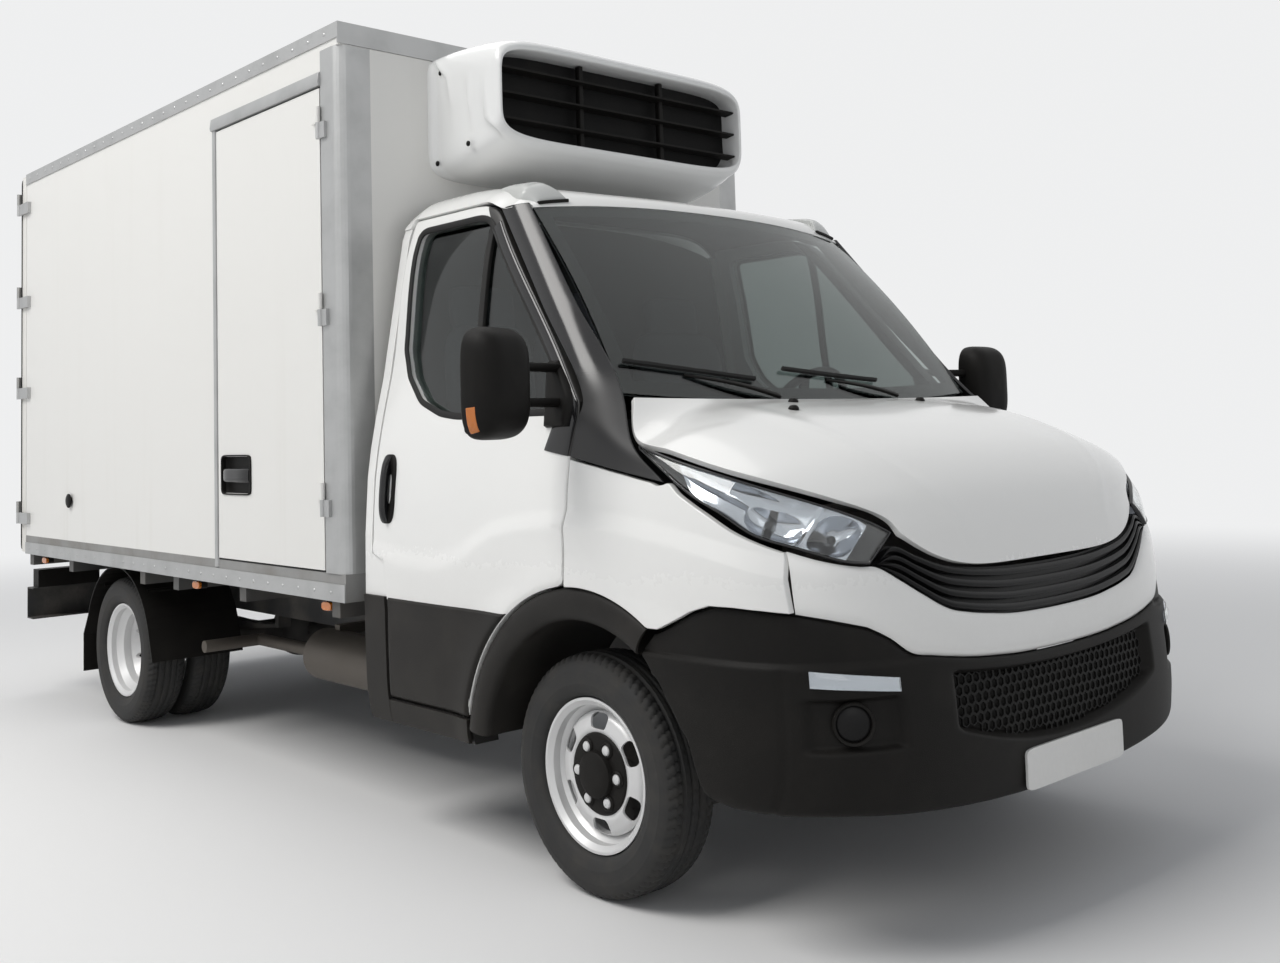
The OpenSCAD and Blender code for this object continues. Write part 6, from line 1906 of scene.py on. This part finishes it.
@dataclass
class RearDoor(Handed):
    """What one rear door carries: its rim seal, saddles over the locking bar, a lever, straps and bolts."""

    carrier: ClassVar[str] = "rear_door"
    face: float = -4.633
    leaf: tuple[float, float, float, float] = (-1.046, -0.006, 0.772, 2.83)
    bar: tuple[float, float] = (-4.644, -0.496)
    saddle_z: tuple[float, ...] = (0.961, 1.801, 2.641)
    hinge_z: tuple[float, ...] = (1.0113, 1.6913, 2.1913, 2.7113)
    lever_z: float = 1.34

    def upright(self, profile: Array, middle: float, half: float) -> Form:
        """A profile of (y, outwards) points carried up the door's face, from half below to half above."""
        z = np.linspace(middle - half, middle + half, 8)[:, None]
        return Form.tube(points(self.face - profile[:, 1], profile[:, 0], z))

    def bolt(self, radius: float, lift: float, y: float, z: float) -> Form:
        """A bolt head that stands on the face or on a plate of the given thickness."""
        head = [(radius, 0.0), (radius, 0.003), (0.005, 0.0055), (0.002, 0.006)]
        return Form.lathe(head, (self.face - lift, y, z), (-1, 0, 0), 12)

    def seal(self) -> None:
        """A dark rubber lip carried round the leaf's rim."""
        y0, y1, z0, z1 = self.leaf
        loop = soften(resample(np.array([(y0, z0), (y1, z0), (y1, z1), (y0, z1)]), 400, True), 3)
        path = points(self.face - 0.0005, loop[:, 0], loop[:, 1])
        lip = np.array([(-0.008, -0.002), (0.008, -0.002), (0.005, 0.004), (-0.004, 0.003)])
        self.put(Form.sweep(path, lip, (-1, 0, 0), True), "rear_door_seal", Finishes.SEAL)

    def gear(self) -> None:
        """Saddles bent over the bar, cams at its ends, and the lever with its catch."""
        y = self.bar[1]
        a = np.radians(np.linspace(0, 180, 11))
        hump = points(y + 0.0125 * np.cos(a), 0.01 + 0.0125 * np.sin(a))
        saddle = np.vstack([[(y + 0.036, -0.001), (y + 0.036, 0.005), (y + 0.015, 0.005)], hump,
                            [(y - 0.015, 0.005), (y - 0.036, 0.005), (y - 0.036, -0.001)]])
        forms = [self.upright(saddle, z, 0.023) for z in self.saddle_z]
        cam = points(y + 0.03 * np.cos(2 * a), 0.011 + 0.0105 * np.sin(2 * a))[:-1]
        forms += [self.upright(cam, z, 0.008) for z in (self.leaf[2] + 0.036, self.leaf[3] - 0.036)]
        forms += [self.bolt(0.0075, 0.005, y + dy, z) for z in self.saddle_z for dy in (-0.026, 0.026)]
        self.put(joined(forms), "lock_saddles", Finishes.STEEL, 0.001)
        t = np.linspace(0, 1, 24)
        x = self.bar[0] - 0.002 - 0.002 * np.sin(np.pi * t)
        path = points(x, y + 0.265 * t, self.lever_z - 0.02 * t ** 2)
        lever = Form.sweep(path, oval(0.006, 0.017, 16, 4), UP, False, 1.0 - 0.25 * t)
        catch = Form.block((self.face - 0.004, y + 0.19, self.lever_z - 0.055),
                           (self.face + 0.002, y + 0.235, self.lever_z + 0.03))
        self.put(lever + catch, "lock_lever", Finishes.STEEL, 0.001)

    def straps(self) -> None:
        """Each hinge leaf runs on as a tapered strap with a round end and three bolts."""
        forms = []
        a = np.radians(np.linspace(-90, 90, 12))
        for z in self.hinge_z:
            tip = points(-0.8 + 0.019 * np.cos(a), z + 0.019 * np.sin(a))
            edge = np.vstack([[(-0.965, z - 0.029)], tip, [(-0.965, z + 0.029)]])
            outline = points(self.face, edge[:, 0], edge[:, 1])
            forms.append(Form.prism(outline, (0.001, 0, 0), (-0.0045, 0, 0)))
            forms += [self.bolt(0.008, 0.0045, y, z) for y in (-0.93, -0.87, -0.81)]
        self.put(joined(forms), "hinge_straps", Finishes.STEEL, 0.001)

    def build(self) -> None:
        """Builds the door's gear."""
        self.seal()
        self.gear()
        self.straps()


@dataclass
class RearLamps:
    """Lenses of the rear lamp clusters: red outside, amber between and clear inside."""

    face: float = -4.649
    height: float = 0.618
    sections: tuple = (("red", -0.915, 0.062), ("amber", -0.8, 0.047), ("clear", -0.706, 0.041))

    def build(self) -> None:
        """Each lens is rings of a rounded rectangle that rise to a low crown."""
        finish = {"red": Finishes.RED, "amber": Finishes.AMBER, "clear": Finishes.CLEAR}
        u = np.linspace(1, 0.03, 12)[:, None]
        for name, y, half in self.sections:
            ring = oval(half, 0.038, 64, 7.0)
            x = self.face - 0.01 * (1 - u ** 6) + 0.001
            made = Form.tube(points(x, y + ring[:, 0] * u, self.height + ring[:, 1] * u))
            made.both().piece("rear_lenses_" + name, finish[name])


@dataclass
class FrontWheel(Handed):
    """A front wheel: turned rim, bright dish with oblong windows, nuts and a dark hub cover."""

    carrier: ClassVar[str] = "wheel_front"
    face: float = -0.885
    axle_z: float = 0.347
    middle: float = -0.845
    bead: float = 0.2045
    windows: int = 6
    window: Point = (0.15, 0.0225, 0.035)
    dish_r: tuple[float, ...] = (0.106, 0.122, 0.15, 0.17, 0.1765)
    dish_out: tuple[float, ...] = (0.0, 0.011, 0.009, -0.001, -0.01)
    plate: float = 0.008
    nut_r: float = 0.085

    def dish(self) -> Form:
        """One sector per window: rings spread from the window's superellipse to the sector's polar border.

        Returns:
            The dish as a plate whose sectors are welded.
        """
        a = turn_by(64)
        square = points(np.cos(a), np.sin(a))
        square /= np.abs(square).max(axis=1, keepdims=True)
        at, radial, along = self.window
        low, high = self.dish_r[0], self.dish_r[-1]
        border = np.array(((low + high) / 2, 0)) + square * ((high - low) / 2, np.pi / self.windows)
        hole = np.array((at, 0)) + oval(radial, along / at, 64, 3.6)
        polar = hole + (border - hole) * steps(12)[..., None]
        r = polar[..., 0]
        out = self.face - curve(r, self.dish_r, self.dish_out)
        forms = []
        for k in range(self.windows):
            turn = polar[..., 1] + (k + 0.5) * 2 * np.pi / self.windows
            front = points(r * np.cos(turn), out, self.axle_z + r * np.sin(turn))
            forms.append(Form.shell(front, front + (0, self.plate, 0), True))
        return joined(forms).welded()

    def rim(self) -> Form:
        """The rim's section, flange to well to flange, turned about the axle.

        Returns:
            The rim.
        """
        edge, seat, well, wall = 0.2205, self.bead, 0.1785, 0.007
        outer = [(edge, -0.075), (edge, -0.0625), (seat, -0.0615), (seat, -0.037), (well, -0.025),
                 (well, 0.013), (seat, 0.039), (seat, 0.0615), (edge, 0.0625), (edge, 0.075)]
        inner = [(edge - 0.008, 0.075), (seat - wall, 0.062), (seat - wall, 0.037), (well - wall, 0.011),
                 (well - wall, -0.023), (seat - wall, -0.035), (seat - wall, -0.062), (edge - 0.008, -0.075)]
        return Form.lathe(outer + inner, (0, self.middle, self.axle_z), ASIDE, 96, True)

    def on_nuts(self, profile: Sequence[tuple[float, float]], count: int, closed: bool) -> Form:
        """A turned profile on each of the six nuts.

        Args:
            profile: Its (radius, outwards) points.
            count: Steps round.
            closed: Whether the profile closes on itself.
        Returns:
            The six forms in one.
        """
        a = np.radians(np.arange(6) * 60)
        spots = points(self.nut_r * np.cos(a), self.face, self.axle_z + self.nut_r * np.sin(a))
        return joined([Form.lathe(profile, spot, ASIDE, count, closed) for spot in spots])

    def build(self) -> None:
        """The cover is turned about the axle; a collar stands round each nut."""
        nut = [(0.0155, -0.004), (0.0155, 0.021), (0.0125, 0.0255), (0.006, 0.0275), (0.001, 0.028)]
        wheel = self.rim() + self.dish() + self.on_nuts(nut, 18, False)
        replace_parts(self.put(wheel, "rim_and_dish", Finishes.WHEEL, 0.0015), self.body)
        cover = [(0.118, -0.003), (0.119, 0.007), (0.113, 0.014), (0.104, 0.0165), (0.069, 0.018),
                 (0.0655, 0.033), (0.058, 0.0375), (0.03, 0.0395), (0.003, 0.04)]
        collar = [(0.026, 0.012), (0.024, 0.02), (0.0195, 0.0235), (0.0165, 0.0225), (0.0165, 0.01)]
        made = Form.lathe(cover, (0, self.face, self.axle_z), ASIDE, 72) + self.on_nuts(collar, 24, True)
        self.put(made, "hub_cover", Finishes.BLACK, 0.0, 30)


@dataclass
class Seats:
    """Driver's seat and double passenger seat: crowned cushions, backs and head rests."""

    places: tuple = ((0.18, 0.68), (-0.74, -0.345), (-0.335, 0.06))
    bases: tuple = ((0.22, 0.64), (-0.7, 0.02))

    @staticmethod
    def pad(centre: Sequence[float], half: Sequence[float], lean: float, count: int = 56) -> Form:
        """A crowned pad: a superellipsoid whose face is drawn in along two sewn lines and towards its ends.

        Args:
            centre: Middle of the pad.
            half: Half sizes along its length, width and thickness.
            lean: Turn about the crosswise axis, in degrees.
            count: Steps round the pad.
        Returns:
            The closed form.
        """
        u = np.linspace(-np.pi / 2, np.pi / 2, count // 2)[:, None]
        v = turn_by(count)
        x = half[0] * signed(np.cos(u), 0.35) * signed(np.cos(v), 0.35)
        y = half[1] * signed(np.cos(u), 0.35) * signed(np.sin(v), 0.35)
        z = half[2] * signed(np.sin(u), 0.6)
        face = ramp(z, 0.0, half[2])
        sewn = sum(bell(y / half[1], at, 0.05) for at in (-0.5, 0.5))
        z = z - face * 0.006 * sewn - face * 0.01 * (np.abs(x) / half[0]) ** 2
        a = math.radians(lean)
        p = points(x * math.cos(a) - z * math.sin(a), y, x * math.sin(a) + z * math.cos(a))
        return Form.grid(p + np.asarray(centre), False, True)

    def build(self) -> None:
        """Builds each place on plain box bases and hides the solid seats."""
        for i, (y0, y1) in enumerate(self.places):
            y, w = (y0 + y1) / 2, (y1 - y0) / 2
            made = self.pad((-0.675, y, 1.035), (0.235, w - 0.004, 0.065), -3)
            made = made + self.pad((-0.955, y, 1.415), (0.325, w - 0.012, 0.055), 96)
            made = made + self.pad((-1.012, y, 1.8), (0.085, min(w, 0.14), 0.035), 96)
            piece = made.piece(f"seat_pad_{i}", Finishes.CLOTH, 0.0, 60)
            if i == 0:
                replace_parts(piece, "seats")
        base = [Form.block((-0.92, y0, 0.853), (-0.49, y1, 0.975)) for y0, y1 in self.bases]
        joined(base).piece("seat_bases", Finishes.TRIM, 0.012)


def dress_nodes(nodes: dict[str, bpy.types.Object]) -> None:
    """Gives each CAD node its finish.

    Args:
        nodes: The CAD nodes by name.
    """
    for name, node in nodes.items():
        node.data.materials.clear()
        node.data.materials.append(NODE_FINISH[name].material())
        LOG.info("node %s: %s", name, NODE_FINISH[name].name)


def main() -> None:
    """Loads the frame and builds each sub-assembly."""
    logging.basicConfig(level=logging.INFO, format="%(name)s %(message)s")
    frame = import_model()
    Studio().build()
    dress_nodes(frame["nodes"])
    Nose().build()
    CabShell().build()
    CoolingUnit().build()
    BoxTrim().build()
    RearLamps().build()
    Seats().build()
    for side in (RIGHT, LEFT):
        CabDoor(side).build()
        RearDoor(side).build()
        word = hand(side)
        Tyre("tyre_front_" + word, "wheel_front_" + word, (side * 0.845,), 0.0).build()
        FrontWheel(side).build()
        Tyre("tyres_rear_" + word, "wheel_rear_" + word, (side * 0.644, side * 0.869), -3.45).build()


if __name__ == "__main__":
    main()
